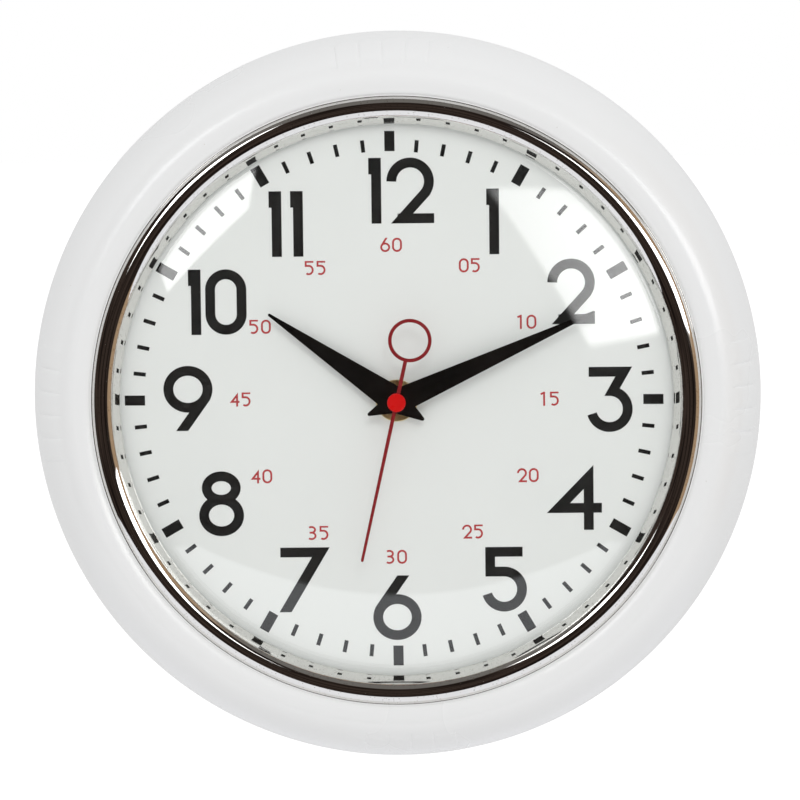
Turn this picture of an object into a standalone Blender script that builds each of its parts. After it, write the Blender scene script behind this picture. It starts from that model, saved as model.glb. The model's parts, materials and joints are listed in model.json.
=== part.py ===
"""A 9.5 inch battery wall clock, built as its separate pieces.

The clock is modelled lying on a bench: its face looks along local +Z, twelve o'clock is along
local +Y, and local z = 0 is the wall. The empty "clock_axis" then stands it up, so that the face
looks along world -Y. The world origin is the nail: the centre of the keyhole slot's top end, in
the plane of the wall. Every size below is in millimetres.
"""

import math

import bmesh
import bpy

MM = 0.001
GAP = 0.1  # between two pieces that rest on each other

# The object's driving sizes
CASE_R = 120.65  # half of 9.5 inches
NAIL_RISE = 86.0  # from the hands' axis up to the nail
DIAL_FRONT = 33.5  # height of the dial's printed face above the wall
DIAL_R = 93.3
BIG, MID, SMALL, TINY = 48, 24, 16, 10  # sides of a round piece, by its size

# Case: pressed steel, open at the back
SHEET = 1.0
LIP_R, SEAT_R = 98.0, 99.9
SEAT_HEIGHT = 40.6
CREST_R, CREST_HEIGHT = 105.0, 42.4
WIDEST_HEIGHT = 14.0
SHOULDER_POWER = 1.7  # 2 would make the shoulder an ellipse, 1 a straight cone
REAR_RIM_R = 114.0
REED_COUNT, REED_DEG, REED_DEPTH = 5, 3.8, 0.8
REED_START_R, REED_END_HEIGHT = 109.2, 24.0

# Bezel, lens and what clamps them
BEZEL_FOOT_R, BEZEL_FOOT_HEIGHT = 90.4, 36.7
BEAD_R, BEAD_CENTRE_R, BEAD_CENTRE_HEIGHT = 3.9, 95.8, 39.0
BEZEL_OUTER_R = 99.4
LENS_THICK, LENS_SAG, LENS_RIM_TOP = 2.0, 15.8, 36.2
FIXING_R = 95.8
BEZEL_FIXINGS = [20, 110, 200, 290]
COVER_FIXINGS = [45, 135, 225, 315]
CARRIER_BACK, CARRIER_FRONT = 29.5, 32.4

# Rear cover and hanger
COVER_BACK, COVER_FRONT, COVER_R = 1.8, 3.6, 113.6
WELL_OUTER, WELL_INNER, WELL_TOP = 66.0, 62.0, 18.6
HANGER_BACK = COVER_FRONT + 3 * GAP
SLOT_HALF, KEYHOLE_R, KEYHOLE_DROP = 2.5, 5.0, 10.0

# Quartz movement
MOVEMENT_SIDE, MOVEMENT_WALL, MOVEMENT_CORNER = 56.0, 1.2, 3.0
MOVEMENT_FRONT, MOVEMENT_BACK, MOVEMENT_SPLIT = 31.8, 16.6, 23.4
BATTERY_R, BATTERY_Y, BATTERY_HEIGHT = 7.25, -19.0, 23.1
ARBOR_R, PIVOT_HOLE_R = 0.4, 0.5
MIDDLE_PLATE = (25.6, 26.4)
BRIDGE_PLATE = (19.2, 20.0)
COIL_Y, COIL_HEIGHT = 22.6, 20.75
STATOR = (21.3, 21.9)

# Nested tubes on the hands' axis, inner and outer radius
SECONDS_ARBOR_R = 0.5
CANNON_BORE, CANNON_R = 0.65, 1.6
HOUR_BORE, HOUR_R = 1.75, 2.5
BUSHING_BORE, BUSHING_R = 2.65, 4.0

# Hands: where they point at rest, in degrees clockwise from twelve, and how high they sit
HOUR_ANGLE, MINUTE_ANGLE, SECOND_ANGLE = 304.8, 66.0, 192.75
HOUR_HAND = (36.7, 37.1)
MINUTE_HAND = (38.6, 39.0)
SECOND_HAND = (40.9, 41.3)

# Each wheel and the pinion that meshes with it: their teeth, and how far apart their arbors stand
MOTION_PAIR, HOUR_PAIR = (30, 10, 9.6), (32, 8, 9.6)
CENTRE_PAIR, THIRD_PAIR = (48, 6, 10.5), (45, 6, 10.5)
SECONDS_PAIR, ROTOR_PAIR = (36, 6, 8.75), (30, 6, 7.2)
ADDENDUM, DEDENDUM = 0.85, 1.2  # in modules
ROOT_SHARE, TIP_SHARE = 0.30, 0.11  # half a tooth's width as a share of the pitch


def polar(radius, degrees):
    """A point at that radius, counterclockwise from local +X."""
    angle = math.radians(degrees)
    return radius * math.cos(angle), radius * math.sin(angle)


def away(point, distance, degrees):
    dx, dy = polar(distance, degrees)
    return point[0] + dx, point[1] + dy


# Where each arbor stands, measured from the hands' axis
CENTRE = (0.0, 0.0)
MOTION = polar(MOTION_PAIR[2], 35)
SETTING = away(MOTION, MOTION_PAIR[2], 60)
THIRD = polar(THIRD_PAIR[2], 180)
INTERMEDIATE = polar(SECONDS_PAIR[2], 100)
ROTOR = away(INTERMEDIATE, ROTOR_PAIR[2], 130)
PILLARS = [(-21.5, -8.3), (16.0, -8.0), (-22.0, 9.0)]


# ---------------------------------------------------------------- shapes


def arc(cx, cy, radius, start, end, steps):
    points = []
    for i in range(steps + 1):
        dx, dy = polar(radius, start + (end - start) * i / steps)
        points.append((cx + dx, cy + dy))
    return points


def circle(radius, sides, centre=(0.0, 0.0)):
    return arc(*centre, radius, 0, 360 * (sides - 1) / sides, sides - 1)


def rounded_rectangle(x0, y0, x1, y1, corner, steps=3):
    corners = [
        (x1 - corner, y0 + corner, -90),
        (x1 - corner, y1 - corner, 0),
        (x0 + corner, y1 - corner, 90),
        (x0 + corner, y0 + corner, 180),
    ]
    points = []
    for cx, cy, start in corners:
        points += arc(cx, cy, corner, start, start + 90, steps)
    return points


def square(side, corner):
    half = side / 2
    return rounded_rectangle(-half, -half, half, half, corner)


def gear(teeth, pair, phase):
    """The outline of either gear of a pair. One tooth points along the angle phase, in degrees."""
    module = 2 * pair[2] / (pair[0] + pair[1])
    pitch_r = teeth * module / 2
    root_r, tip_r = pitch_r - DEDENDUM * module, pitch_r + ADDENDUM * module
    step = 360 / teeth
    points = []
    for i in range(teeth):
        middle = phase + i * step
        points += [
            polar(root_r, middle - ROOT_SHARE * step),
            polar(tip_r, middle - TIP_SHARE * step),
            polar(tip_r, middle + TIP_SHARE * step),
            polar(root_r, middle + ROOT_SHARE * step),
        ]
    return points


def wheel_of(pair, phase):
    return gear(pair[0], pair, phase)


def pinion_of(pair, phase):
    return gear(pair[1], pair, phase)


def meshing_phase(driver_teeth, driver_phase, driver_at, teeth, at):
    """The phase that puts a gap of the second gear where the driver's tooth points at it."""
    towards = math.degrees(math.atan2(at[1] - driver_at[1], at[0] - driver_at[0]))
    teeth_past = (driver_phase - towards) * driver_teeth / 360
    return towards + 180 + (0.5 - teeth_past) * 360 / teeth


def wheel_phase(pair, pinion_phase, pinion_at, wheel_at):
    return meshing_phase(pair[1], pinion_phase, pinion_at, pair[0], wheel_at)


def pinion_phase(pair, phase, wheel_at, pinion_at):
    return meshing_phase(pair[0], phase, wheel_at, pair[1], pinion_at)


def finish(name, bm, material, parent, location=(0.0, 0.0), turn=0.0):
    """Makes the mesh an object, with its origin at location on the bench."""
    bmesh.ops.recalc_face_normals(bm, faces=bm.faces)
    for vertex in bm.verts:
        vertex.co *= MM
    mesh = bpy.data.meshes.new(name)
    bm.to_mesh(mesh)
    bm.free()
    mesh.shade_smooth()
    mesh.set_sharp_from_angle(angle=math.radians(35))
    obj = bpy.data.objects.new(name, mesh)
    bpy.context.scene.collection.objects.link(obj)
    obj.parent = parent
    obj.location = (location[0] * MM, location[1] * MM, 0)
    obj.rotation_euler = (0, 0, turn)
    obj.data.materials.append(material)
    return obj


def ring_of(bm, loop, height):
    return [bm.verts.new((x, y, height)) for x, y in loop]


def wall(bm, lower, upper):
    for i in range(len(lower)):
        j = (i + 1) % len(lower)
        bm.faces.new((lower[i], lower[j], upper[j], upper[i]))


def flat(bm, *rings):
    """Fills the flat area between rings of vertices, the largest of them outermost."""
    edges = []
    for ring in rings:
        for i in range(len(ring)):
            pair = (ring[i], ring[(i + 1) % len(ring)])
            edges.append(bm.edges.get(pair) or bm.edges.new(pair))
    bmesh.ops.triangle_fill(bm, use_beauty=True, use_dissolve=False, edges=edges)


def stacked_mesh(levels, holes=()):
    """A solid of outlines piled on each other: levels is [(outline, bottom, top), ...], lowest first.

    Each outline lies inside, or outside, the next. The holes go through every level."""
    bm = bmesh.new()
    bottoms = [ring_of(bm, outline, low) for outline, low, _ in levels]
    tops = [ring_of(bm, outline, high) for outline, _, high in levels]
    for lower, upper in zip(bottoms, tops):
        wall(bm, lower, upper)
    holes_low = [ring_of(bm, hole, levels[0][1]) for hole in holes]
    holes_high = [ring_of(bm, hole, levels[-1][2]) for hole in holes]
    for lower, upper in zip(holes_low, holes_high):
        wall(bm, lower, upper)
    flat(bm, bottoms[0], *holes_low)
    flat(bm, tops[-1], *holes_high)
    for upper, lower in zip(tops[:-1], bottoms[1:]):
        flat(bm, upper, lower)
    return bm


def stacked(name, levels, material, parent, holes=(), location=(0.0, 0.0), turn=0.0):
    return finish(name, stacked_mesh(levels, holes), material, parent, location, turn)


def plate(name, outline, low, high, material, parent, holes=(), **place):
    return stacked(name, [(outline, low, high)], material, parent, holes, **place)


def tub_mesh(outer, inner, closed_end, floor, open_end, holes=()):
    """An open-ended box: its floor lies between the heights closed_end and floor, with holes in it."""
    bm = bmesh.new()
    outside = [ring_of(bm, outer, height) for height in (closed_end, open_end)]
    inside = [ring_of(bm, inner, height) for height in (floor, open_end)]
    cuts = [[ring_of(bm, hole, height) for height in (closed_end, floor)] for hole in holes]
    for lower, upper in [outside, inside, *cuts]:
        wall(bm, lower, upper)
    flat(bm, outside[0], *[cut[0] for cut in cuts])
    flat(bm, inside[0], *[cut[1] for cut in cuts])
    flat(bm, outside[1], inside[1])
    return bm


def turned_mesh(profile, sides):
    """A ring turned about local Z from a closed profile of (radius, height) that stays off the axis."""
    bm = bmesh.new()
    spokes = []
    for i in range(sides):
        cosine, sine = polar(1, 360 * i / sides)
        spokes.append([bm.verts.new((r * cosine, r * sine, h)) for r, h in profile])
    for i in range(sides):
        wall(bm, spokes[i], spokes[(i + 1) % sides])
    return bm


def turned(name, profile, sides, material, parent):
    return finish(name, turned_mesh(profile, sides), material, parent)


def boolean(obj, operation, *meshes):
    """Joins meshes to obj, or cuts them from it, one Boolean for them all."""
    together = bmesh.new()
    for bm in meshes:
        bmesh.ops.recalc_face_normals(bm, faces=bm.faces)
        part = bpy.data.meshes.new("tool")
        bm.to_mesh(part)
        bm.free()
        together.from_mesh(part)
    tool = finish(f"{obj.name}_tool", together, obj.data.materials[0], obj.parent)
    tool.hide_render = True
    tool.display_type = "WIRE"
    modifier = obj.modifiers.new(operation.lower(), "BOOLEAN")
    modifier.operation = operation
    modifier.solver = "EXACT"
    modifier.object = tool


def cylinder_mesh(radius, low, high, centre=(0.0, 0.0), sides=TINY):
    return stacked_mesh([(circle(radius, sides, centre), low, high)])


def lying_along_x(obj, y, height):
    """Turns a piece made about local Z so that it lies along local X, at that y and height."""
    obj.rotation_euler = (0, math.radians(90), 0)
    obj.location = (0, y * MM, height * MM)


# ---------------------------------------------------------------- materials


def material(name, colour, roughness, metallic=0.0, transmission=0.0):
    made = bpy.data.materials.new(name)
    made.use_nodes = True
    shader = made.node_tree.nodes["Principled BSDF"]
    shader.inputs["Base Color"].default_value = (*colour, 1)
    shader.inputs["Roughness"].default_value = roughness
    shader.inputs["Metallic"].default_value = metallic
    shader.inputs["Transmission Weight"].default_value = transmission
    made.diffuse_color = (*colour, 1)
    return made


def materials():
    return {
        "white_enamel": material("white_enamel", (0.86, 0.86, 0.86), 0.2),
        "chrome": material("chrome", (0.8, 0.79, 0.77), 0.05, 1.0),
        "glass": material("glass", (1, 1, 1), 0.0, 0.0, 1.0),
        "clear_rubber": material("clear_rubber", (0.75, 0.77, 0.76), 0.5),
        "dial_white": material("dial_white", (0.77, 0.79, 0.77), 0.5),
        "hand_black": material("hand_black", (0.012, 0.012, 0.012), 0.3),
        "hand_red": material("hand_red", (0.6, 0.01, 0.01), 0.3),
        "black_plastic": material("black_plastic", (0.02, 0.02, 0.021), 0.55),
        "black_rubber": material("black_rubber", (0.015, 0.015, 0.015), 0.8),
        "zinc_steel": material("zinc_steel", (0.55, 0.56, 0.58), 0.35, 1.0),
        "brass": material("brass", (0.72, 0.52, 0.22), 0.25, 1.0),
        "copper": material("copper", (0.72, 0.3, 0.14), 0.35, 1.0),
        "magnet": material("magnet", (0.09, 0.09, 0.1), 0.4, 1.0),
        "acetal": material("acetal", (0.82, 0.8, 0.74), 0.45),
        "circuit_green": material("circuit_green", (0.02, 0.16, 0.06), 0.5),
        "battery_wrap": material("battery_wrap", (0.03, 0.12, 0.3), 0.3),
    }


# ---------------------------------------------------------------- case, bezel and lens


def shoulder(steps):
    """The case's rounded side, from its crest out to its widest line."""
    points = []
    power = 2 / SHOULDER_POWER
    for i in range(steps + 1):
        angle = math.radians(90 - 90 * i / steps)
        out = abs(math.cos(angle)) ** power
        up = abs(math.sin(angle)) ** power
        radius = CREST_R + (CASE_R - CREST_R) * out
        points.append((radius, WIDEST_HEIGHT + (CREST_HEIGHT - WIDEST_HEIGHT) * up))
    return points


def case_profile():
    """The case's outside, from its front lip over the shoulder to its rear rim."""
    front = [(LIP_R, SEAT_HEIGHT), (SEAT_R, SEAT_HEIGHT), (102.2, 41.3)]
    rear = [(CASE_R, 3.0), (CASE_R - 2.4, 0.0), (REAR_RIM_R, 0.0)]
    return front + shoulder(6) + rear


def offset(profile, distance):
    """The same open line, moved to its right by distance."""
    moved = []
    for i, (r, h) in enumerate(profile):
        before, after = profile[max(i - 1, 0)], profile[min(i + 1, len(profile) - 1)]
        along_r, along_h = after[0] - before[0], after[1] - before[1]
        length = math.hypot(along_r, along_h)
        moved.append((r + distance * along_h / length, h - distance * along_r / length))
    return moved


def reed_depth(degrees, radius, height):
    """How far the case is pressed in there. Grooves part the reeds at 12, 3, 6 and 9 o'clock."""
    from_middle = (degrees + 45) % 90 - 45
    half_band = REED_COUNT * REED_DEG / 2
    if abs(from_middle) > half_band + 0.01 or radius < REED_START_R or height < REED_END_HEIGHT:
        return 0.0
    within = (from_middle + half_band) / REED_DEG % 1
    groove = abs(2 * min(within, 1 - within) - 1)
    start = min(1, (radius - REED_START_R) / 2.0 + 0.25)
    return REED_DEPTH * groove**2 * start * min(1, (height - REED_END_HEIGHT) / 4.0)


def case_angles():
    """Close together across the reeds and wide apart between them."""
    half_band = REED_COUNT * REED_DEG / 2
    angles = []
    for middle in range(0, 360, 90):
        steps = 2 * REED_COUNT
        angles += [middle - half_band + i * REED_DEG / 2 for i in range(steps + 1)]
        plain, count = 90 - 2 * half_band, 8
        angles += [middle + half_band + plain * i / count for i in range(1, count)]
    return angles


def case_shell(slots, parent):
    outside = case_profile()
    inside = offset(outside, SHEET)
    bm = bmesh.new()
    spokes = []
    for degrees in case_angles():
        depths = [reed_depth(degrees, r, h) for r, h in outside]
        outer = [(r - depth, h) for (r, h), depth in zip(outside, depths)]
        inner = [(r - depth, h) for (r, h), depth in zip(inside, depths)]
        profile = outer + inner[::-2]
        spokes.append([bm.verts.new((*polar(r, degrees), h)) for r, h in profile])
    for i, spoke in enumerate(spokes):
        wall(bm, spoke, spokes[(i + 1) % len(spokes)])
    finish("case_shell", bm, slots["white_enamel"], parent)


def bezel_profile():
    """Flange, rounded bead, and the flank that runs down to the glass."""
    bead = arc(BEAD_CENTRE_R, BEAD_CENTRE_HEIGHT, BEAD_R, 30, 150, 5)
    flank = [(91.2, 38.75), (BEZEL_FOOT_R, BEZEL_FOOT_HEIGHT)]
    under = [(91.6, BEZEL_FOOT_HEIGHT - 0.2), (94.2, SEAT_HEIGHT), (94.8, SEAT_HEIGHT + GAP)]
    flange = [(BEZEL_OUTER_R, SEAT_HEIGHT + GAP), (BEZEL_OUTER_R, SEAT_HEIGHT + 0.25)]
    return bead + flank + under + flange


def bezel_ring(slots, parent):
    ring = turned("bezel_ring", bezel_profile(), BIG, slots["chrome"], parent)
    bosses, bores = [], []
    for degrees in BEZEL_FIXINGS:
        centre = polar(FIXING_R, degrees)
        bosses.append(cylinder_mesh(1.9, CARRIER_FRONT + 0.3, SEAT_HEIGHT + 1.2, centre))
        bores.append(cylinder_mesh(1.05, CARRIER_FRONT - 1, SEAT_HEIGHT - 2.2, centre))
    boolean(ring, "UNION", *bosses)
    boolean(ring, "DIFFERENCE", *bores)


def lens(slots, parent):
    """A shallow spherical cap of even thickness with a flat rim. It is spun from the axis out."""
    reach = BEZEL_FOOT_R
    sphere_r = (reach**2 + LENS_SAG**2) / (2 * LENS_SAG)
    centre = LENS_RIM_TOP + LENS_SAG - sphere_r
    rim_r = DIAL_R
    rings = 4

    def height(radius, sphere):
        return centre + math.sqrt(sphere**2 - radius**2)

    inner_sphere = sphere_r - LENS_THICK
    rim_bottom = DIAL_FRONT + 0.8
    inner_reach = math.sqrt(inner_sphere**2 - (rim_bottom - centre) ** 2)
    profile = []
    for i in range(1, rings + 1):
        radius = reach * i / rings
        profile.append((radius, height(radius, sphere_r)))
    profile += [(rim_r, LENS_RIM_TOP), (rim_r, rim_bottom)]
    for i in range(rings, 0, -1):
        radius = inner_reach * i / rings
        profile.append((radius, height(radius, inner_sphere)))
    bm = bmesh.new()
    spokes = []
    for i in range(BIG):
        cosine, sine = polar(1, 360 * i / BIG)
        spokes.append([bm.verts.new((r * cosine, r * sine, h)) for r, h in profile])
    outer_pole = bm.verts.new((0, 0, height(0, sphere_r)))
    inner_pole = bm.verts.new((0, 0, height(0, inner_sphere)))
    for i in range(BIG):
        spoke, after = spokes[i], spokes[(i + 1) % BIG]
        for j in range(len(profile) - 1):
            bm.faces.new((spoke[j], after[j], after[j + 1], spoke[j + 1]))
        bm.faces.new((outer_pole, after[0], spoke[0]))
        bm.faces.new((inner_pole, spoke[-1], after[-1]))
    finish("lens", bm, slots["glass"], parent)


def ring_profile(inner_r, outer_r, low, high):
    return [(inner_r, low), (outer_r, low), (outer_r, high), (inner_r, high)]


def screw(name, centre, head_r, head, shank_r, shank_top, slots, parent):
    """A pan-head screw, driven in from the back. The head's own edge is chamfered."""
    low, high = head
    levels = [
        (circle(head_r * 0.8, TINY), low, low + 0.4),
        (circle(head_r, TINY), low + 0.4, high),
        (circle(shank_r, TINY), high, shank_top),
    ]
    stacked(name, levels, slots["zinc_steel"], parent, location=centre)


def dial_carrier(slots, parent):
    """The ring behind the dial. Its wall reaches the case's lip, and its posts hold the rear cover."""
    profile = [
        (84.0, CARRIER_BACK),
        (100.8, CARRIER_BACK),
        (100.8, SEAT_HEIGHT - SHEET - GAP),
        (98.4, SEAT_HEIGHT - SHEET - GAP),
        (98.4, CARRIER_FRONT),
        (84.0, CARRIER_FRONT),
    ]
    ring = turned("dial_carrier", profile, BIG, slots["black_plastic"], parent)
    posts, bores = [], []
    for degrees in COVER_FIXINGS:
        centre = polar(FIXING_R, degrees)
        posts.append(cylinder_mesh(3.4, COVER_FRONT + GAP, CARRIER_BACK + 1.2, centre))
        bores.append(cylinder_mesh(1.25, COVER_FRONT - 1, 14.0, centre))
    for degrees in BEZEL_FIXINGS:
        centre = polar(FIXING_R, degrees)
        bores.append(cylinder_mesh(1.5, CARRIER_BACK - 1, CARRIER_FRONT + 1, centre))
    boolean(ring, "UNION", *posts)
    boolean(ring, "DIFFERENCE", *bores)


def front_assembly(slots, parent):
    case_shell(slots, parent)
    bezel_ring(slots, parent)
    lens(slots, parent)
    seal = ring_profile(90.6, DIAL_R - 0.2, DIAL_FRONT + GAP, DIAL_FRONT + 0.7)
    turned("lens_gasket", seal, BIG, slots["clear_rubber"], parent)
    dial = ring_profile(BUSHING_R + 0.2, DIAL_R, DIAL_FRONT - 0.8, DIAL_FRONT)
    turned("dial_plate", dial, BIG, slots["dial_white"], parent)
    dial_carrier(slots, parent)
    for number, degrees in enumerate(BEZEL_FIXINGS, 1):
        head = (CARRIER_BACK - 1.6, CARRIER_BACK - GAP)
        centre = polar(FIXING_R, degrees)
        screw(f"bezel_screw_{number}", centre, 2.6, head, 0.9, 37.6, slots, parent)


# ---------------------------------------------------------------- rear cover and hanger


def keyhole():
    """A round hole for the nail's head under a slot for its shank, in one outline."""
    top, hole = NAIL_RISE, NAIL_RISE - KEYHOLE_DROP
    side = math.degrees(math.asin(SLOT_HALF / KEYHOLE_R))
    slot_end = arc(0, top, SLOT_HALF, 0, 180, 8)
    return slot_end + arc(0, hole, KEYHOLE_R, 90 + side, 450 - side, 14)


def rear_cover(slots, parent):
    """A disc with a square well in it, through which the battery and the knob are reached."""
    window = rounded_rectangle(-9.0, NAIL_RISE - 18.0, 9.0, NAIL_RISE + 6.0, 2.0)
    rivets = [circle(1.6, TINY, (x, NAIL_RISE - 6.0)) for x in (-14.0, 14.0)]
    fixings = [circle(1.4, TINY, polar(FIXING_R, a)) for a in COVER_FIXINGS]
    bm = bmesh.new()
    disc = [ring_of(bm, circle(COVER_R, BIG), h) for h in (COVER_BACK, COVER_FRONT)]
    outer = [ring_of(bm, square(WELL_OUTER, 4.0), h) for h in (COVER_FRONT, WELL_TOP)]
    inner = [ring_of(bm, square(WELL_INNER, 3.0), h) for h in (COVER_BACK, WELL_TOP)]
    cuts = []
    for outline in [window, *rivets, *fixings]:
        cuts.append([ring_of(bm, outline, h) for h in (COVER_BACK, COVER_FRONT)])
    for lower, upper in [disc, outer, inner, *cuts]:
        wall(bm, lower, upper)
    flat(bm, disc[0], inner[0], *[cut[0] for cut in cuts])
    flat(bm, disc[1], outer[0], *[cut[1] for cut in cuts])
    flat(bm, outer[1], inner[1])
    finish("rear_cover", bm, slots["black_plastic"], parent)


def rivet(name, x, slots, parent):
    levels = [
        (circle(2.6, TINY), COVER_BACK - GAP - 0.8, COVER_BACK - GAP),
        (circle(1.45, TINY), COVER_BACK - GAP, HANGER_BACK + 1.0 + GAP),
        (circle(2.6, TINY), HANGER_BACK + 1.0 + GAP, HANGER_BACK + 1.9),
    ]
    place = (x, NAIL_RISE - 6.0)
    stacked(name, levels, slots["zinc_steel"], parent, location=place)


def rear_assembly(slots, parent):
    rear_cover(slots, parent)
    outline = rounded_rectangle(-18.0, NAIL_RISE - 21.0, 18.0, NAIL_RISE + 9.0, 3.0)
    holes = [circle(1.6, TINY, (x, NAIL_RISE - 6.0)) for x in (-14.0, 14.0)]
    thick = (HANGER_BACK, HANGER_BACK + 1.0)
    holes.append(keyhole())
    plate("hanger_plate", outline, *thick, slots["zinc_steel"], parent, holes)
    for number, x in enumerate((-14.0, 14.0), 1):
        rivet(f"hanger_rivet_{number}", x, slots, parent)
    for number, degrees in enumerate(COVER_FIXINGS, 1):
        head = (COVER_BACK - 1.4, COVER_BACK - GAP)
        centre = polar(FIXING_R, degrees)
        screw(f"cover_screw_{number}", centre, 3.0, head, 1.0, 13.0, slots, parent)


# ---------------------------------------------------------------- movement: fixed pieces


def movement_housing(slots, parent):
    """Two tubs, mouth to mouth. The front one carries the rib, the pillars and the motion stud."""
    black = slots["black_plastic"]
    inner_side = MOVEMENT_SIDE - 2 * MOVEMENT_WALL
    shell = (square(MOVEMENT_SIDE, MOVEMENT_CORNER), square(inner_side, MOVEMENT_CORNER - MOVEMENT_WALL))
    front_face = MOVEMENT_FRONT - MOVEMENT_WALL
    heights = (MOVEMENT_FRONT, front_face, MOVEMENT_SPLIT + GAP)
    bm = tub_mesh(*shell, *heights, [circle(BUSHING_R + GAP, MID)])
    base = finish("movement_base", bm, black, parent)
    half = inner_side / 2 + 0.5
    bay_wall = rounded_rectangle(-half, -11.5, half, -10.7, 0.3, 1)
    fixed = [stacked_mesh([(bay_wall, MOVEMENT_SPLIT + 1, front_face + 0.5)])]
    for pillar in PILLARS:
        fixed.append(cylinder_mesh(1.4, BRIDGE_PLATE[0] - 0.3, front_face + 0.5, pillar))
    fixed.append(cylinder_mesh(0.9, 27.85, front_face + 0.5, MOTION))
    boolean(base, "UNION", *fixed)
    room = 0.1
    bay = rounded_rectangle(
        -26.2, BATTERY_Y - BATTERY_R - room, 26.2, BATTERY_Y + BATTERY_R + room, 0.8
    )
    heights = (MOVEMENT_BACK, MOVEMENT_BACK + MOVEMENT_WALL, MOVEMENT_SPLIT - GAP)
    bm = tub_mesh(*shell, *heights, [bay, circle(1.9, TINY, SETTING)])
    finish("movement_cover", bm, black, parent)


def train_plate(name, heights, slots, parent):
    outline = rounded_rectangle(-24.0, -10.4, 18.5, 17.3, 1.5)
    holes = [circle(PIVOT_HOLE_R, TINY, place) for place in (INTERMEDIATE, ROTOR)]
    holes += [circle(0.65, TINY, place) for place in (CENTRE, THIRD)]
    holes.append(circle(1.8, TINY, SETTING))
    holes += [circle(1.6, TINY, pillar) for pillar in PILLARS]
    plate(name, outline, *heights, slots["acetal"], parent, holes)


def dial_fixing(slots, parent):
    """What clamps the movement to the dial: a threaded bushing, its washers and its nut."""
    low = MOVEMENT_FRONT - MOVEMENT_WALL + 0.05
    bush = circle(BUSHING_R, MID)
    bore = circle(BUSHING_BORE, MID)
    plate("hand_bushing", bush, low, 36.4, slots["brass"], parent, [bore])
    hole = [circle(BUSHING_R + 0.15, MID)]
    rubber = (MOVEMENT_FRONT + GAP, DIAL_FRONT - 0.8 - GAP)
    plate("rubber_washer", circle(8.0, MID), *rubber, slots["black_rubber"], parent, hole)
    washer = (DIAL_FRONT + GAP, DIAL_FRONT + 0.6)
    plate("brass_washer", circle(6.85, MID), *washer, slots["brass"], parent, hole)
    nut = (DIAL_FRONT + 0.7, DIAL_FRONT + 2.2)
    plate("hand_nut", circle(5.6, 6), *nut, slots["brass"], parent, hole)


def coil_and_stator(slots, parent):
    x0, x1 = -22.0, -2.0
    bobbin = [
        (circle(2.8, SMALL), x0, x0 + 0.8),
        (circle(1.5, SMALL), x0 + 0.8, x1 - 0.8),
        (circle(2.8, SMALL), x1 - 0.8, x1),
    ]
    bore = [circle(1.05, TINY)]
    made = stacked("coil_bobbin", bobbin, slots["acetal"], parent, bore)
    lying_along_x(made, COIL_Y, COIL_HEIGHT)
    turns = [(circle(2.5, SMALL), x0 + 0.9, x1 - 0.9)]
    made = stacked("coil_winding", turns, slots["copper"], parent, [circle(1.6, SMALL)])
    lying_along_x(made, COIL_Y, COIL_HEIGHT)
    core = rounded_rectangle(-25.0, COIL_Y - 0.8, 1.0, COIL_Y + 0.8, 0.2, 1)
    heights = (COIL_HEIGHT - 0.4, COIL_HEIGHT + 0.4)
    plate("coil_core", core, *heights, slots["zinc_steel"], parent)
    outline = [
        (-25.0, 24.2),
        (-25.0, 16.5),
        (-13.0, 10.4),
        (1.0, 10.4),
        (1.0, 24.2),
        (-1.6, 24.2),
        (-1.6, 18.8),
        (-22.5, 18.8),
        (-22.5, 24.2),
    ]
    hole = [circle(3.0, SMALL, ROTOR)]
    plate("stator_plate", outline, *STATOR, slots["zinc_steel"], parent, hole)


def electronics(slots, parent):
    board = rounded_rectangle(4.0, 17.6, 26.3, 26.4, 0.6, 1)
    plate("circuit_board", board, 22.0, 23.0, slots["circuit_green"], parent)
    chip = rounded_rectangle(8.0, 20.0, 12.0, 24.0, 0.4, 1)
    plate("driver_chip", chip, 20.9, 22.0 - GAP, slots["black_plastic"], parent)
    can = [(circle(1.0, TINY), 16.0, 22.0)]
    made = stacked("quartz_crystal", can, slots["zinc_steel"], parent)
    lying_along_x(made, 22.0, 20.9)


def battery_and_contacts(slots, parent):
    x0, x1 = -24.2, 25.0
    cell = [
        (circle(BATTERY_R - 0.5, SMALL), x0, x0 + 0.4),
        (circle(BATTERY_R, SMALL), x0 + 0.4, x1 - 0.4),
        (circle(BATTERY_R - 0.5, SMALL), x1 - 0.4, x1),
        (circle(2.75, SMALL), x1, x1 + 0.95),
    ]
    made = stacked("battery", cell, slots["battery_wrap"], parent)
    lying_along_x(made, BATTERY_Y, BATTERY_HEIGHT)
    strip = rounded_rectangle(26.15, BATTERY_Y - 4.0, 26.55, BATTERY_Y + 4.0, 0.1, 1)
    plate("positive_contact", strip, 18.2, 29.5, slots["brass"], parent)
    negative_spring(slots, parent)


def negative_spring(slots, parent):
    """A cone of wire, wide at the wall and narrow where it meets the battery."""
    turns, per_turn, sides = 3, 10, 5
    wire_r, wide_r, narrow_r = 0.3, 4.2, 2.0
    x0, x1 = -26.4, -24.6
    bm = bmesh.new()
    rings = []
    for i in range(turns * per_turn + 1):
        along = i / (turns * per_turn)
        angle = 360 * turns * along
        ring = []
        for j in range(sides):
            out, across = polar(wire_r, 360 * j / sides)
            y, z = polar(wide_r + (narrow_r - wide_r) * along + out, angle)
            x = x0 + (x1 - x0) * along + across
            ring.append(bm.verts.new((x, BATTERY_Y + y, BATTERY_HEIGHT + z)))
        rings.append(ring)
    for lower, upper in zip(rings[:-1], rings[1:]):
        wall(bm, lower, upper)
    bm.faces.new(rings[0])
    bm.faces.new(rings[-1])
    finish("negative_spring", bm, slots["zinc_steel"], parent)


# ---------------------------------------------------------------- movement: moving pieces


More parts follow.
